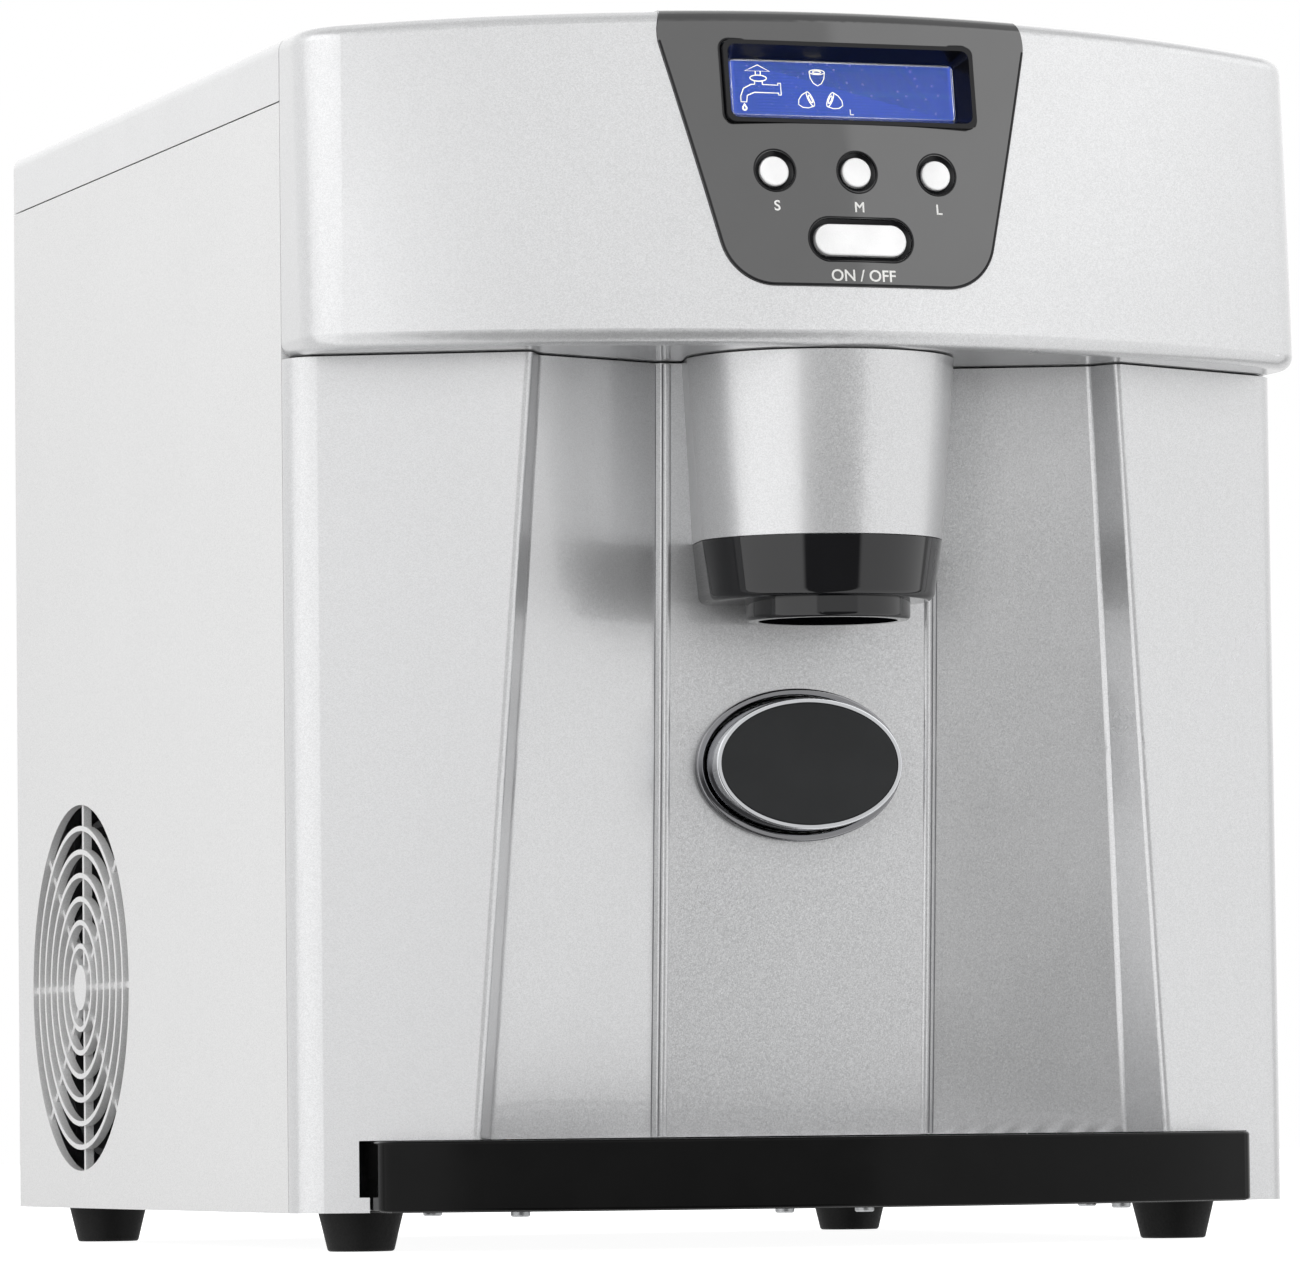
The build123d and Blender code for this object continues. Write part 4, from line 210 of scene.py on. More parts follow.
def metal(name, colour, roughness=0.25, stretch=(1, 1, 1), scale=400, relief=0.1, patina=0.85):
    """Bare metal; a stretch along one axis gives brushing marks."""
    material, tree, shader = new_material(name)
    shader.inputs["Metallic"].default_value = 1.0
    marks = noise(tree, scale, detail=4, stretch=stretch)
    colours(tree, shader, noise(tree, scale=25, detail=4), shade(colour, patina), colour)
    spread(tree, shader, marks, roughness * 0.8, roughness * 1.25)
    bump(tree, shader, marks, relief, 0.05)
    return material


def clear(name, colour, roughness=0.02, transmission=1.0, ior=1.45):
    """Clear plastic or silicone with faint smears."""
    material, tree, shader = new_material(name)
    shader.inputs["Transmission Weight"].default_value = transmission
    shader.inputs["IOR"].default_value = ior
    smear = noise(tree, scale=30, detail=3)
    colours(tree, shader, smear, shade(colour, 0.96), colour)
    spread(tree, shader, smear, roughness, roughness + 0.03)
    return material


def circuit(name, colour):
    """Solder mask over fine copper traces, with a scatter of pads."""
    material, tree, shader = new_material(name)
    shader.inputs["Coat Weight"].default_value = 0.3
    traces = put(tree, "ShaderNodeTexBrick", Scale=180, Mortar_Size=0.03, Bias=0.0)
    traces.inputs["Color1"].default_value = (*colour, 1)
    traces.inputs["Color2"].default_value = (*shade(colour, 0.8), 1)
    traces.inputs["Mortar"].default_value = (*shade(colour, 1.8), 1)
    tree.links.new(place(tree), traces.inputs["Vector"])
    pads = put(tree, "ShaderNodeTexVoronoi", Scale=320)
    tree.links.new(place(tree), pads.inputs["Vector"])
    pad_radius_share = 0.16
    limit = put(tree, "ShaderNodeMath", {"operation": "LESS_THAN"})
    limit.inputs[1].default_value = pad_radius_share
    tree.links.new(pads.outputs["Distance"], limit.inputs[0])
    mix = put(tree, "ShaderNodeMix", {"data_type": "RGBA"})
    tin = (0.75, 0.72, 0.62, 1)
    mix.inputs["B"].default_value = tin
    tree.links.new(limit.outputs["Value"], mix.inputs["Factor"])
    tree.links.new(traces.outputs["Color"], mix.inputs["A"])
    tree.links.new(mix.outputs["Result"], shader.inputs["Base Color"])
    spread(tree, shader, noise(tree, scale=90), 0.3, 0.45)
    return material


def display_panel(name):
    """Backlit blue display: brighter towards its top edge, with a fine dot grid."""
    material, tree, shader = new_material(name)
    shader.inputs["Roughness"].default_value = 0.3
    shader.inputs["Emission Strength"].default_value = 0.8
    bottom, top = 0.385, 0.409
    bottom_blue, top_blue = (0.028, 0.085, 0.46), (0.036, 0.10, 0.52)
    dot_blue, line_blue = (0.02, 0.04, 0.25, 1), (0.01, 0.02, 0.12, 1)
    height = put(tree, "ShaderNodeSeparateXYZ")
    tree.links.new(place(tree), height.inputs["Vector"])
    fade = put(tree, "ShaderNodeMapRange", From_Min=bottom, From_Max=top, To_Min=0.0, To_Max=1.0)
    tree.links.new(height.outputs["Z"], fade.inputs["Value"])
    colours(
        tree, shader, fade.outputs["Result"], bottom_blue, top_blue,
        socket="Emission Color", low=0.0, high=1.0,
    )
    dots = put(tree, "ShaderNodeTexBrick", {"offset": 0.0}, Scale=1400, Mortar_Size=0.04)
    dots.inputs["Color1"].default_value = dot_blue
    dots.inputs["Color2"].default_value = dot_blue
    dots.inputs["Mortar"].default_value = line_blue
    tree.links.new(place(tree), dots.inputs["Vector"])
    tree.links.new(dots.outputs["Color"], shader.inputs["Base Color"])
    return material


def glowing(name, colour, strength):
    """Lit print on the display."""
    material, tree, shader = new_material(name)
    shader.inputs["Emission Strength"].default_value = strength
    for socket in ("Emission Color", "Base Color"):
        colours(tree, shader, noise(tree, scale=200), shade(colour, 0.9), colour, socket=socket)
    return material


silver = flake_paint("silver_paint", (0.63, 0.633, 0.64))
cover_paint = flake_paint("cover_paint", (0.66, 0.663, 0.67))
panel_paint = flake_paint(
    "panel_paint", (0.80, 0.80, 0.80), metallic=0.2, roughness=0.42, coat=0.35, sparkle=0.04
)
rear_paint = flake_paint(
    "rear_paint", (0.55, 0.55, 0.56), metallic=0.25, roughness=0.45, coat=0.2, sparkle=0.04
)
black_gloss = gloss("black_gloss", (0.003, 0.003, 0.004), roughness=0.04, specular=0.4, coat=0.4)
bezel_gloss = gloss("bezel_gloss", (0.004, 0.004, 0.005), roughness=0.2, specular=0.3)
fascia_gloss = gloss("fascia_gloss", (0.012, 0.012, 0.0125), roughness=0.04, specular=1.0, coat=1.0)
tray_gloss = gloss("tray_gloss", (0.004, 0.004, 0.004), roughness=0.1, specular=0.1)
enamel = gloss("black_enamel", (0.016, 0.016, 0.016), roughness=0.25, specular=0.5)
chrome = metal("chrome", (0.66, 0.67, 0.69), roughness=0.05, relief=0.02, patina=0.96)
dark_chrome = metal("dark_chrome", (0.27, 0.27, 0.28), roughness=0.05, relief=0.02, patina=0.9)
stainless = metal(
    "stainless", (0.60, 0.60, 0.61), roughness=0.28, stretch=(1, 60, 60), scale=40, relief=0.12
)
zinc = metal("zinc_steel", (0.56, 0.57, 0.58), roughness=0.35, scale=900, relief=0.15, patina=0.75)
aluminium = metal("fin_aluminium", (0.74, 0.75, 0.76), roughness=0.3, stretch=(8, 1, 40), scale=60)
copper = metal("copper_tube", (0.72, 0.38, 0.24), roughness=0.26, patina=0.6)
button_white = moulded(
    "button_white", (0.90, 0.90, 0.90), roughness=0.28, grain_mm=0.2, relief=0.03, specular=0.6
)
pad_black = moulded(
    "pad_black", (0.022, 0.023, 0.024), roughness=0.5, grain_mm=0.35, relief=0.2, specular=0.2
)
rubber = moulded("rubber", (0.012, 0.012, 0.012), roughness=0.62, grain_mm=0.6, relief=0.3, specular=0.2)
inner_white = moulded("inner_white", (0.78, 0.79, 0.79), roughness=0.45, grain_mm=0.8, relief=0.1)
inner_grey = moulded("inner_grey", (0.34, 0.35, 0.36), roughness=0.5, grain_mm=0.6)
inner_black = moulded("inner_black", (0.016, 0.016, 0.017), roughness=0.6, grain_mm=0.6, specular=0.15)
print_white = moulded("label_white", (0.80, 0.80, 0.78), roughness=0.5, grain_mm=0.2, relief=0.05)
# Painted shadow for the dark lines along the bay's grooves
shadow_line = moulded("shadow_line", (0.16, 0.16, 0.17), roughness=0.6, grain_mm=0.4, relief=0.1)
circuit_green = circuit("circuit_green", (0.02, 0.13, 0.055))
hose = clear("hose_silicone", (0.86, 0.88, 0.89), roughness=0.25, transmission=0.55, ior=1.4)
pane = clear("display_pane", (0.97, 0.98, 1.0), ior=1.12)
smoked = clear("lid_pane", (0.30, 0.31, 0.33), roughness=0.03)
display_blue = display_panel("display_blue")
icon_cream = glowing("icon_cream", (0.93, 0.90, 0.74), strength=0.8)

FINISHES = {
    silver: "front_shell head_housing spout_housing",
    cover_paint: "top_cover lid",
    panel_paint: "left_side_panel right_side_panel",
    rear_paint: "rear_panel",
    black_gloss: "spout_ring",
    bezel_gloss: "display_bezel",
    fascia_gloss: "control_fascia",
    tray_gloss: "drip_tray",
    chrome: "paddle_rim evaporator",
    dark_chrome: "paddle_bezel",
    button_white: "button_s button_m button_l button_on_off",
    pad_black: "paddle_pad",
    rubber: "feet drain_cap compressor_mounts",
    inner_white: "ice_chute chute_door ice_bin water_tank freezing_tray",
    inner_grey: "paddle_plunger paddle_guide auger_motor ice_maker_bracket circulation_pump dispense_pump",
    inner_black: "power_inlet paddle_switch tilt_motor fan fan_shroud wiring_harness",
    stainless: "auger drip_grate",
    zinc: "base_screws rear_screws lid_hinge_pins paddle_spring support_frame fan_motor",
    enamel: "base_pan compressor",
    aluminium: "condenser",
    copper: "refrigerant_tubes",
    circuit_green: "control_board power_board",
    hose: "fill_hose dispense_hose drain_hose",
    pane: "display_window",
    smoked: "lid_window",
    display_blue: "display_module",
}
for material, names in FINISHES.items():
    for name in names.split():
        for slot in nodes[name].material_slots:
            slot.material = material


# Small rounds on the edges that catch the light

for name, width_mm in (("control_fascia", 0.3), ("drip_tray", 0.5), ("spout_ring", 0.3)):
    rounding = nodes[name].modifiers.new("edge_round", "BEVEL")
    rounding.width = width_mm * MM
    rounding.segments = 3
    rounding.limit_method = "ANGLE"
    rounding.angle_limit = math.radians(40)


# Pieces added to the model

# Rays that look for a front face start this far in front of the model, in metres
RAY_START_Y = -1.0


def piece(name, mesh, material, body, smooth=True):
    """Link a mesh as a piece that rides on a body."""
    mesh.materials.clear()
    mesh.materials.append(material)
    if smooth:
        mesh.shade_smooth()
    made = bpy.data.objects.new(name, mesh)
    bpy.context.scene.collection.objects.link(made)
    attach(made, body)
    return made


def mesh_of(curve, name):
    """Turn a curve or text datablock into a mesh and remove the curve."""
    holder = bpy.data.objects.new(name + "_line", curve)
    bpy.context.scene.collection.objects.link(holder)
    bpy.context.view_layer.update()
    graph = bpy.context.evaluated_depsgraph_get()
    mesh = bpy.data.meshes.new_from_object(holder.evaluated_get(graph))
    bpy.data.objects.remove(holder)
    bpy.data.curves.remove(curve)
    return mesh


def wires(name, runs, radius_mm):
    """Round wires along runs of points; a run is a list of points and whether it closes."""
    curve = bpy.data.curves.new(name + "_line", "CURVE")
    curve.dimensions = "3D"
    curve.bevel_depth = radius_mm * MM
    curve.bevel_resolution = 3
    curve.use_fill_caps = True
    for points, closed in runs:
        spline = curve.splines.new("POLY")
        spline.points.add(len(points) - 1)
        for target, point in zip(spline.points, points):
            target.co = (*point, 1)
        spline.use_cyclic_u = closed
    return mesh_of(curve, name)


def onto(target, point, lift_mm):
    """The spot on a node's front face in line with a point, lifted off it."""
    start = Vector((point.x, RAY_START_Y, point.z))
    hit, where, normal, _ = target.ray_cast(start, Vector((0, 1, 0)))
    return where + normal * lift_mm * MM if hit else point


# Printed words under the buttons

WORD_Z = 353.4
WORD_SIZE = 5.0
POWER_WORD_Z = 329.6
POWER_WORD_SIZE = 5.6
WORD_WEIGHT = 0.09
PRINT_LIFT = 0.05


def label(name, words, x, height, size_mm):
    """A printed word that follows the control panel's curve."""
    text = bpy.data.curves.new(name + "_text", "FONT")
    text.body = words
    text.size = size_mm
    text.bevel_depth = WORD_WEIGHT
    text.bevel_resolution = 1
    text.align_x = "CENTER"
    text.align_y = "CENTER"
    text.resolution_u = 6
    mesh = mesh_of(text, name)
    for vertex in mesh.vertices:
        flat = vertex.co * MM
        spot = Vector((x * MM + flat.x, 0, height * MM + flat.y))
        vertex.co = onto(nodes["control_fascia"], spot, PRINT_LIFT + vertex.co.z)
    piece(name, mesh, print_white, "housing", smooth=False)


label("label_s", "S", -BUTTON_PITCH, WORD_Z, WORD_SIZE)
label("label_m", "M", 0.0, WORD_Z, WORD_SIZE)
label("label_l", "L", BUTTON_PITCH, WORD_Z, WORD_SIZE)
label("label_on_off", "ON / OFF", 0.0, POWER_WORD_Z, POWER_WORD_SIZE)


def arc(centre, radius, start, end, steps):
    """Points of an arc in a plane, angles in degrees."""
    return [
        (centre[0] + radius * math.cos(math.radians(start + (end - start) * step / steps)),
         centre[1] + radius * math.sin(math.radians(start + (end - start) * step / steps)))
        for step in range(steps + 1)
    ]


# Rounded lips round the button openings, and a black seal inside each

ROUND_STEPS = 24
LIP_RADIUS = 0.3
BUTTON_LIP = 7.3
BUTTON_SEAL = (5.4, 7.0)
POWER_LIP = 7.7
POWER_LIP_RUN = 11.3
POWER_SEAL = (5.75, 7.35)
POWER_SEAL_RUN = 11.2
SEAL_DEPTHS = (1.7, 1.5, 1.0)
RIM_MARGIN = 0.35


def stadium(centre_x, centre_z, half_run, radius):
    """A round-ended outline, or a circle where the run is nothing."""
    right = arc((centre_x + half_run, centre_z), radius, -90, 90, ROUND_STEPS)
    left = arc((centre_x - half_run, centre_z), radius, 90, 270, ROUND_STEPS)
    return right[:-1] + left[:-1]


def on_fascia(outline, lift_mm=0.0):
    """An outline's points put on the curved fascia."""
    return [onto(nodes["control_fascia"], Vector((x * MM, 0, z * MM)), lift_mm) for x, z in outline]


def lip(name, outline, radius_mm=LIP_RADIUS):
    """A round bead along a closed outline on the fascia."""
    mesh = wires(name, [(on_fascia(outline), True)], radius_mm)
    piece(name, mesh, bezel_gloss, "housing")


def seal(name, centre_x, centre_z, half_run, inner, outer):
    """A sloped ring between a button and the edge of its opening."""
    rim = on_fascia(stadium(centre_x, centre_z, half_run, outer + RIM_MARGIN))
    middle = sum(rim, Vector()) / len(rim)
    mesh = bpy.data.meshes.new(name)
    shape = bmesh.new()
    rows = []
    for radius, depth in zip((inner, (inner + outer) / 2, outer), SEAL_DEPTHS):
        row = []
        for x, rise in stadium(0, 0, half_run, radius):
            offset = Vector((x, 0, 0)) + UP_THE_FACE * rise + INTO_THE_FACE * depth
            row.append(shape.verts.new(middle + offset * MM))
        rows.append(row)
    for near, far in zip(rows, rows[1:]):
        for index in range(len(near)):
            after = (index + 1) % len(near)
            shape.faces.new((near[index], far[index], far[after], near[after]))
    shape.normal_update()
    shape.to_mesh(mesh)
    shape.free()
    piece(name, mesh, bezel_gloss, "housing")


for place_x, suffix in ((-BUTTON_PITCH, "s"), (0.0, "m"), (BUTTON_PITCH, "l")):
    lip("button_lip_" + suffix, stadium(place_x, BUTTON_Z, 0, BUTTON_LIP))
    seal("button_seal_" + suffix, place_x, BUTTON_Z, 0, *BUTTON_SEAL)
lip("button_lip_on_off", stadium(0, POWER_Z, POWER_LIP_RUN, POWER_LIP))
seal("button_seal_on_off", 0, POWER_Z, POWER_SEAL_RUN, *POWER_SEAL)


# The paddle's return spring, a coil of wire in place of the model's spring

SPRING_TURNS = 6
SPRING_STEPS = 20
SPRING_WIRE = 0.6

spring_low, spring_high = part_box("paddle_spring")
spring_x = (spring_low[0] + spring_high[0]) / 2
spring_z = (spring_low[2] + spring_high[2]) / 2
spring_radius = (spring_high[2] - spring_low[2]) / 2 - SPRING_WIRE * MM
spring_start = spring_low[1] + SPRING_WIRE * MM
spring_run = spring_high[1] - spring_low[1] - 2 * SPRING_WIRE * MM
coil = []
for step in range(SPRING_TURNS * SPRING_STEPS + 1):
    coil_angle = 2 * math.pi * step / SPRING_STEPS
    coil.append(Vector((
        spring_x + spring_radius * math.cos(coil_angle),
        spring_start + spring_run * step / (SPRING_TURNS * SPRING_STEPS),
        spring_z + spring_radius * math.sin(coil_angle),
    )))
return_spring = piece(
    "return_spring", wires("return_spring", [(coil, False)], SPRING_WIRE), zinc, "housing"
)
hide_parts("paddle_spring")
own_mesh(return_spring)


# A dark bead along the edge of the fascia's shield

SHIELD_BOTTOM = 326.0
SHIELD_HALF = 46.1
SHIELD_TOP_HALF = 69.6
SHIELD_FLARE = (SHIELD_TOP_HALF - SHIELD_HALF) / (CROWN_Z - SHIELD_BOTTOM)
SHIELD_ROUND = 19.0
BEAD_INSET = 0.55
BEAD_SINK = 0.2
BEAD_RADIUS = 0.5
BEAD_SIDE_BOTTOM = 350.0
BEAD_TOP = 416.0
BEAD_FLAT_STEPS = 6
BEAD_ROUND_STEPS = 16
BEAD_SIDE_STEPS = 12


def shield_side(inset):
    """The shield's right edge from the middle of its bottom to the crown, moved inwards."""
    lean = math.atan(SHIELD_FLARE)
    across = SHIELD_HALF - SHIELD_ROUND / math.tan((math.pi / 2 + lean) / 2)
    centre = (across, SHIELD_BOTTOM + SHIELD_ROUND)
    flat = [(across * step / BEAD_FLAT_STEPS, SHIELD_BOTTOM + inset) for step in range(BEAD_FLAT_STEPS)]
    corner = arc(centre, SHIELD_ROUND - inset, -90, -math.degrees(lean), BEAD_ROUND_STEPS)
    side = []
    for step in range(1, BEAD_SIDE_STEPS + 1):
        z = BEAD_SIDE_BOTTOM + (BEAD_TOP - BEAD_SIDE_BOTTOM) * step / BEAD_SIDE_STEPS
        side.append((SHIELD_HALF + SHIELD_FLARE * (z - SHIELD_BOTTOM) - inset / math.cos(lean), z))
    return flat + corner + side


right_edge = shield_side(BEAD_INSET)
left_edge = [(-x, z) for x, z in reversed(right_edge[1:])]
bead_run = on_fascia(left_edge + right_edge, -BEAD_SINK)
bead_mesh = wires("fascia_edge", [(bead_run, False)], BEAD_RADIUS)
piece("fascia_edge", bead_mesh, bezel_gloss, "housing")


# A lip along the outer edge of the display's bezel

BEZEL_HALF_LENGTH = 45.5
BEZEL_HALF_HEIGHT = 14.3
BEZEL_CORNER_INSET = 3.0
BEZEL_LIP_ROUND = 3.4
BEZEL_LIP_RADIUS = 0.5

bezel_x = BEZEL_HALF_LENGTH - BEZEL_CORNER_INSET
bezel_z = BEZEL_HALF_HEIGHT - BEZEL_CORNER_INSET
bezel_outline = []
for sign_x, sign_z, start in ((1, 1, 0), (-1, 1, 90), (-1, -1, 180), (1, -1, 270)):
    corner = (sign_x * bezel_x, DISPLAY_Z + sign_z * bezel_z)
    bezel_outline += arc(corner, BEZEL_LIP_ROUND, start, start + 90, 8)
lip("display_lip", bezel_outline, BEZEL_LIP_RADIUS)


# Icons shown on the display: a tap with a drop, three ice cubes and a letter

DISPLAY_LEFT = -40.7
DISPLAY_TOP_RISE = 9.8
ICON_SINK = DISPLAY_DEPTH - 0.02

display_rise = control_rise(DISPLAY_Z)


def on_display(x, y):
    """A point in millimetres right of and below the display's upper left corner, put on its face."""
    return control_point(x + DISPLAY_LEFT, display_rise + DISPLAY_TOP_RISE - y, ICON_SINK)


def display_runs(runs):
    """Runs given in the display's millimetres, put on its face."""
    return [([on_display(x, y) for x, y in points], closed) for points, closed in runs]


def bullet(x, y, turn):
    """One hollow bullet-shaped ice cube, turned about its middle."""
    side = [(2.8, -1.8), (2.5, 0.4), (1.5, 2.2), (0.0, 3.1), (-1.5, 2.2), (-2.5, 0.4), (-2.8, -1.8)]
    rim = [(px, -1.8 + 0.3 * py) for px, py in arc((0, 0), 2.8, 0, 360, 20)[:-1]]
    hollow = [(px, -1.8 + 0.3 * py) for px, py in arc((0, 0), 1.5, 0, 360, 16)[:-1]]
    cosine, sine = math.cos(math.radians(turn)), math.sin(math.radians(turn))
    return [
        ([(x + px * cosine - py * sine, y + px * sine + py * cosine) for px, py in points], closed)
        for points, closed in ((side, False), (rim, True), (hollow, True))
    ]


tap = [
    ([(5.5, 3.9), (10.2, 1.7), (14.5, 3.9)], True),
    ([(9.3, 3.9), (9.3, 5.3)], False),
    ([(11.1, 3.9), (11.1, 5.3)], False),
    ([(10.2 + px, 6.4 + 0.36 * py) for px, py in arc((0, 0), 3.0, 0, 360, 20)[:-1]], True),
    ([(8.8, 7.4), (8.8, 8.6), (7.4, 8.7), (4.6, 10.2), (3.4, 13.0), (3.4, 15.0), (5.5, 15.0), (5.8, 12.7),
      (8.5, 11.5), (17.2, 11.5), (17.2, 12.2), (18.2, 12.2), (18.2, 8.0), (17.2, 8.0), (17.2, 8.7),
      (11.6, 8.6), (11.6, 7.4)], False),
]
drop = [([(4.6, 15.7)] + [(4.6 + px, 17.2 + py) for px, py in arc((0, 0), 0.7, -50, 230, 12)], True)]
cubes = bullet(31.7, 5.4, 0) + bullet(27.1, 14.0, 65) + bullet(37.6, 14.0, -65)
letter = [([(43.0, 16.6), (43.0, 18.4), (44.2, 18.4)], False)]
frame_line = [([(0.4, 0.3), (81.0, 0.3), (81.0, 19.3), (0.4, 19.3)], True)]
for name, runs, radius_mm, material in (
    ("display_tap", tap, 0.2, icon_cream),
    ("display_drop", drop, 0.3, icon_cream),
    ("display_cubes", cubes, 0.16, icon_cream),
    ("display_letter", letter, 0.16, icon_cream),
    ("display_edge", frame_line, 0.22, chrome),
):
    piece(name, wires(name, display_runs(runs), radius_mm), material, "housing")


# Beads beside the bay's centre panel, and thin dark strips of painted shadow along its grooves

STRIP_BOTTOM = 38.2
STRIP_TOP_GAP = 0.9
STRIP_TOP = HEAD_BOTTOM - STRIP_TOP_GAP
STRIP_STEPS = 40
BAY_BEAD_X = 48.3
BAY_BEAD_RADIUS = 1.6
BAY_BEAD_SINK = 0.75
GROOVE_SHADOW_HALF = 0.22
GROOVE_SHADOWS = (("inner", 50.05, 0.06), ("outer", 52.1, -1.52))


def upright_strip(name, profile, material):
    """Sweep a profile of (x, proud) pairs up the bay's leaning centre panel."""
    mesh = bpy.data.meshes.new(name)
    shape = bmesh.new()
    rows = []
    for step in range(STRIP_STEPS + 1):
        height = STRIP_BOTTOM + (STRIP_TOP - STRIP_BOTTOM) * step / STRIP_STEPS
        face = SEAM_Y - bay_reach(height)
        rows.append([shape.verts.new((x * MM, (face - proud) * MM, height * MM)) for x, proud in profile])
    for low, high in zip(rows, rows[1:]):
        for index in range(len(profile) - 1):
            shape.faces.new((low[index], low[index + 1], high[index + 1], high[index]))
    shape.normal_update()
    shape.to_mesh(mesh)
    shape.free()
    piece(name, mesh, material, "housing")


for side, suffix in ((-1, "left"), (1, "right")):
    round_top = arc((side * BAY_BEAD_X, -BAY_BEAD_SINK), BAY_BEAD_RADIUS, 20, 160, 12)
    upright_strip("bay_bead_" + suffix, round_top, silver)
    # The grooves are thin dark strips of painted shadow, standing in for the shade inside a real groove
    for edge, place_x, proud in GROOVE_SHADOWS:
        groove_shadow = [(side * place_x - GROOVE_SHADOW_HALF, proud), (side * place_x + GROOVE_SHADOW_HALF, proud)]
        upright_strip(f"bay_groove_shadow_{edge}_{suffix}", groove_shadow, shadow_line)


# Painted shade of the cross recesses: dark crosses laid on the screw heads

CROSS_ARM_SHARE = 0.28
CROSS_LIFT = 0.03
REAR_SCREW_RADIUS = 3.3
REAR_CROSS = 3.2
BASE_CROSS = 3.6
BASE_CROSS_Z = 11.57
FRONT_SCREW_Y = -32.0
BASE_SCREW_PLACES = ((110.0, FRONT_SCREW_Y), (14.6, FRONT_SCREW_Y), (122.0, 29.0))


def crosses(name, centres, normal, size_mm):
    """Dark crosses of painted shade, standing for the recesses in flat screw heads; the normal is along Y
    or Z.
    """
    mesh = bpy.data.meshes.new(name)
    shape = bmesh.new()
    long, short = size_mm, size_mm * CROSS_ARM_SHARE
    for centre in centres:
        for width, height in ((long, short), (short, long)):
            corners = []
            for sx, sy in ((-1, -1), (1, -1), (1, 1), (-1, 1)):
                across, along = sx * width / 2 * MM, sy * height / 2 * MM
                offset = Vector((across, 0, along)) if normal == "Y" else Vector((across, -along, 0))
                corners.append(shape.verts.new(centre + offset))
            shape.faces.new(corners)
    shape.to_mesh(mesh)
    shape.free()
    piece(name, mesh, inner_black, "housing", smooth=False)


rear_low, rear_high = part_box("rear_screws")
screw_radius = REAR_SCREW_RADIUS * MM
crosses("rear_screw_recess_shade", [
    Vector((x, rear_high.y + CROSS_LIFT * MM, z))
    for x in (rear_low.x + screw_radius, rear_high.x - screw_radius)
    for z in (rear_low.z + screw_radius, (rear_low.z + rear_high.z) / 2, rear_high.z - screw_radius)
], "Y", REAR_CROSS)
crosses("base_screw_recess_shade", [
    Vector((sign * x * MM, (SEAM_Y + y) * MM, BASE_CROSS_Z * MM))
    for sign in (-1, 1)
    for x, y in BASE_SCREW_PLACES
], "Z", BASE_CROSS)


# Floor, light and camera

def light_path_share(tree, kinds):
    """One where a ray is of any of the kinds named."""
    rays = put(tree, "ShaderNodeLightPath")
    total = rays.outputs[kinds[0]]
    for kind in kinds[1:]:
        larger = put(tree, "ShaderNodeMath", {"operation": "MAXIMUM"})
        tree.links.new(total, larger.inputs[0])
        tree.links.new(rays.outputs[kind], larger.inputs[1])
        total = larger.outputs["Value"]
    return total


def ramp_up(tree, value, low, high):
    """Smoothly from zero at the low value to one at the high value."""
    smooth = {"interpolation_type": "SMOOTHSTEP"}
    node = put(tree, "ShaderNodeMapRange", smooth, From_Min=low, From_Max=high)
    tree.links.new(value, node.inputs["Value"])
    return node.outputs["Result"]


def combine(tree, operation, first, second):
    """The result of one operation on two values; the second may be a plain number."""
    node = put(tree, "ShaderNodeMath", {"operation": operation})
    tree.links.new(first, node.inputs[0])
    if isinstance(second, float):
        node.inputs[1].default_value = second
    else:
        tree.links.new(second, node.inputs[1])
    return node.outputs["Value"]


def light_wall(tree, turn, start, end, soft=3.0):
    """One inside a range of directions round the object, in degrees from the front, with soft ends."""
    rising = ramp_up(tree, turn, math.radians(start - soft), math.radians(start + soft))
    falling = ramp_up(tree, turn, math.radians(end + soft), math.radians(end - soft))
    return combine(tree, "MULTIPLY", rising, falling)


# What shiny surfaces see: a tall light wall on each side in front, a gap between them that is dim near
# the floor, and a white sweep behind. Turns are in degrees from the front, and a height is the upward
# share of a direction.
LEFT_WALL = (-112, -34)
RIGHT_WALL = (20, 100)
LEFT_WALL_LIGHT = 1.4
RIGHT_WALL_LIGHT = 1.14
WALL_RISE = 0.34
WALL_RISE_HEIGHTS = (0.14, 0.36)
WALL_END_HEIGHTS = (0.8, 0.6)
SWEEP_TURNS = (95, 125)
SWEEP_LIGHT = 0.95
LOW_GAP_HEIGHT = -0.15
HIGH_GAP_HEIGHT = 0.14
LOW_GAP_LIGHT = 0.16
HIGH_GAP_LIGHT = 1.16
GAP_END_HEIGHTS = (0.9, 0.5)
OVERHEAD_HEIGHTS = (0.6, 0.9)
OVERHEAD_LIGHT = 0.62
FILL_LIGHT = 0.6
WHITE = (1, 1, 1, 1)

world = bpy.data.worlds.new("studio")
bpy.context.scene.world = world
world.use_nodes = True
tree = world.node_tree
tree.nodes.clear()
direction = put(tree, "ShaderNodeSeparateXYZ")
tree.links.new(put(tree, "ShaderNodeTexCoord").outputs["Generated"], direction.inputs["Vector"])
upward = direction.outputs["Z"]
toward_front = combine(tree, "MULTIPLY", direction.outputs["Y"], -1.0)
turn = combine(tree, "ARCTAN2", direction.outputs["X"], toward_front)
left_light = combine(tree, "MULTIPLY", light_wall(tree, turn, *LEFT_WALL), LEFT_WALL_LIGHT)
right_light = combine(tree, "MULTIPLY", light_wall(tree, turn, *RIGHT_WALL), RIGHT_WALL_LIGHT)
walls = combine(tree, "ADD", left_light, right_light)
walls = combine(tree, "MULTIPLY", walls, ramp_up(tree, upward, *WALL_END_HEIGHTS))
rise = combine(tree, "MULTIPLY", ramp_up(tree, upward, *WALL_RISE_HEIGHTS), WALL_RISE)
walls = combine(tree, "MULTIPLY", walls, combine(tree, "ADD", rise, 1.0))
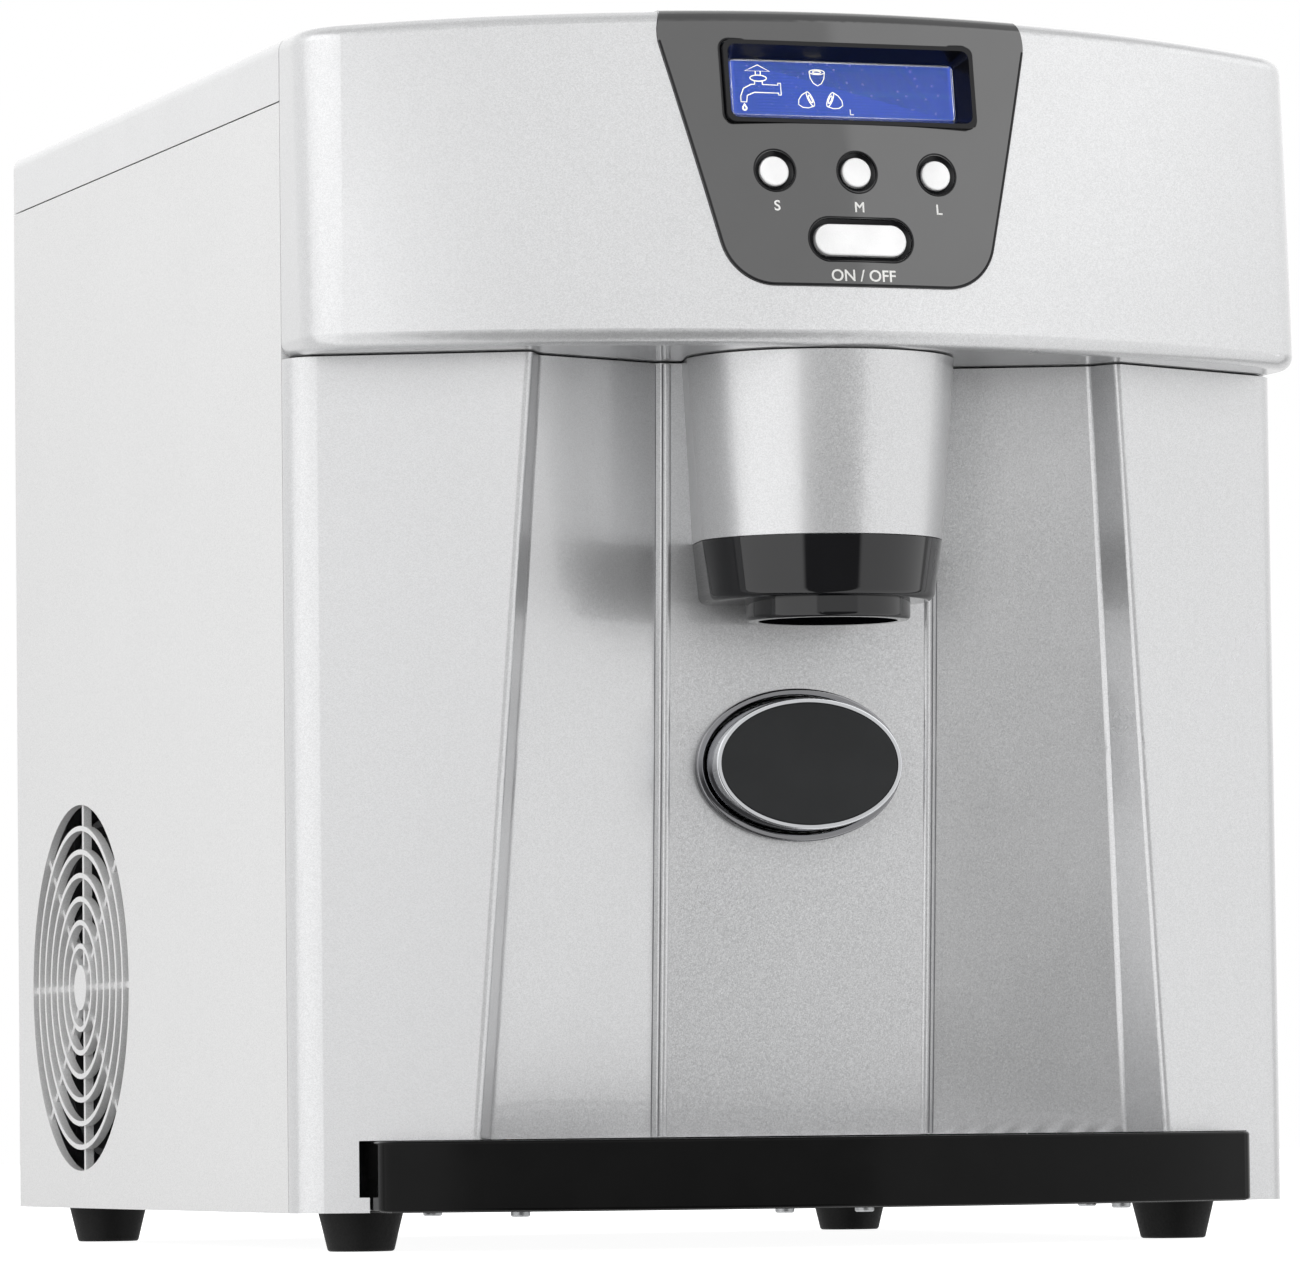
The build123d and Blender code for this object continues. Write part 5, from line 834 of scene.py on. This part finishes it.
gap = put(
    tree, "ShaderNodeMapRange", From_Min=LOW_GAP_HEIGHT, From_Max=HIGH_GAP_HEIGHT,
    To_Min=LOW_GAP_LIGHT, To_Max=HIGH_GAP_LIGHT,
)
tree.links.new(upward, gap.inputs["Value"])
low_gap = combine(tree, "MULTIPLY", gap.outputs["Result"], ramp_up(tree, upward, *GAP_END_HEIGHTS))
overhead = combine(tree, "MULTIPLY", ramp_up(tree, upward, *OVERHEAD_HEIGHTS), OVERHEAD_LIGHT)
open_gap = combine(tree, "ADD", low_gap, overhead)
sideways = combine(tree, "ABSOLUTE", turn, 0.0)
behind = ramp_up(tree, sideways, *(math.radians(degrees) for degrees in SWEEP_TURNS))
sweep = combine(tree, "MULTIPLY", behind, SWEEP_LIGHT)
reflected_light = combine(tree, "MAXIMUM", combine(tree, "MAXIMUM", walls, sweep), open_gap)
fill = put(tree, "ShaderNodeBackground", Color=WHITE, Strength=FILL_LIGHT)
seen = put(tree, "ShaderNodeBackground", Color=WHITE, Strength=1.0)
reflected = put(tree, "ShaderNodeBackground", Color=WHITE)
tree.links.new(reflected_light, reflected.inputs["Strength"])
for_shine = put(tree, "ShaderNodeMixShader")
tree.links.new(light_path_share(tree, ["Is Glossy Ray"]), for_shine.inputs["Fac"])
tree.links.new(fill.outputs["Background"], for_shine.inputs[1])
tree.links.new(reflected.outputs["Background"], for_shine.inputs[2])
choose = put(tree, "ShaderNodeMixShader")
tree.links.new(light_path_share(tree, ["Is Camera Ray", "Is Transmission Ray"]), choose.inputs["Fac"])
tree.links.new(for_shine.outputs["Shader"], choose.inputs[1])
tree.links.new(seen.outputs["Background"], choose.inputs[2])
output = put(tree, "ShaderNodeOutputWorld")
tree.links.new(choose.outputs["Shader"], output.inputs["Surface"])

FLOOR_REACH = 6.0
FLOOR_LIFT = 0.94

floor_mesh = bpy.data.meshes.new("floor")
floor_mesh.from_pydata(
    [(x * FLOOR_REACH, y * FLOOR_REACH, 0) for x, y in ((-1, -1), (1, -1), (1, 1), (-1, 1))],
    [], [(0, 1, 2, 3)],
)
floor = bpy.data.objects.new("floor", floor_mesh)
bpy.context.scene.collection.objects.link(floor)
floor.visible_glossy = False
floor_paint, tree, shader = new_material("floor_paint")
colours(tree, shader, noise(tree, scale=3), (0.56, 0.56, 0.56), (0.58, 0.58, 0.58))
shader.inputs["Roughness"].default_value = 0.9
shader.inputs["Specular IOR Level"].default_value = 0.0
lift = put(tree, "ShaderNodeMapRange", To_Min=0.0, To_Max=FLOOR_LIFT)
tree.links.new(light_path_share(tree, ["Is Camera Ray"]), lift.inputs["Value"])
shader.inputs["Emission Color"].default_value = WHITE
tree.links.new(lift.outputs["Result"], shader.inputs["Emission Strength"])
floor_mesh.materials.append(floor_paint)


def softbox(name, where, target, width, height, power):
    """A rectangular area lamp aimed at a point."""
    data = bpy.data.lights.new(name, "AREA")
    data.shape = "RECTANGLE"
    data.size = width
    data.size_y = height
    data.energy = power
    lamp = bpy.data.objects.new(name, data)
    lamp.location = where
    lamp.rotation_mode = "QUATERNION"
    lamp.rotation_quaternion = (Vector(target) - Vector(where)).to_track_quat("-Z", "Y")
    lamp.visible_camera = False
    lamp.visible_glossy = False
    bpy.context.scene.collection.objects.link(lamp)


softbox("left_strip", (-2.45, -0.6, 0.75), (0, 0, 0.25), width=0.35, height=2.0, power=15)
softbox("left_box", (-1.75, -2.4, 0.8), (0, -0.1, 0.25), width=0.5, height=1.6, power=13)
softbox("right_box", (1.2, -2.6, 0.9), (0, -0.1, 0.25), width=0.5, height=1.6, power=8)
softbox("right_strip", (2.45, -1.0, 1.0), (0.1, -0.2, 0.3), width=0.3, height=2.0, power=9)
softbox("front_box", (-0.1, -2.6, 2.0), (0, -0.1, 0.2), width=1.0, height=0.5, power=10)
softbox("top_box", (0.1, -0.2, 2.3), (0, 0, 0), width=1.6, height=1.4, power=12)


# The camera stands where the photographer stood, as solved from the body's corners

CAMERA_PLACE = (-0.97317, -2.809075, 0.04473)
CAMERA_YAW = 19.08
CAMERA_PITCH = 3.40
CAMERA_ROLL = -0.64
CAMERA_LENS = 225.84
CAMERA_SENSOR = 36
CAMERA_NEAR = 0.05

yaw, pitch, roll = (math.radians(degrees) for degrees in (CAMERA_YAW, CAMERA_PITCH, CAMERA_ROLL))
forward = Vector((math.sin(yaw) * math.cos(pitch), math.cos(yaw) * math.cos(pitch), math.sin(pitch)))
level = Vector((math.cos(yaw), -math.sin(yaw), 0))
plumb = level.cross(forward)
across = level * math.cos(roll) + plumb * math.sin(roll)
above = plumb * math.cos(roll) - level * math.sin(roll)
camera_data = bpy.data.cameras.new("camera")
camera_data.lens = CAMERA_LENS
camera_data.sensor_width = CAMERA_SENSOR
camera_data.clip_start = CAMERA_NEAR
camera = bpy.data.objects.new("camera", camera_data)
camera.matrix_world = Matrix.Translation(CAMERA_PLACE) @ Matrix(
    (across, above, -forward)
).transposed().to_4x4()
bpy.context.scene.collection.objects.link(camera)
bpy.context.scene.camera = camera

view_settings = bpy.context.scene.view_settings
view_settings.view_transform = "Standard"
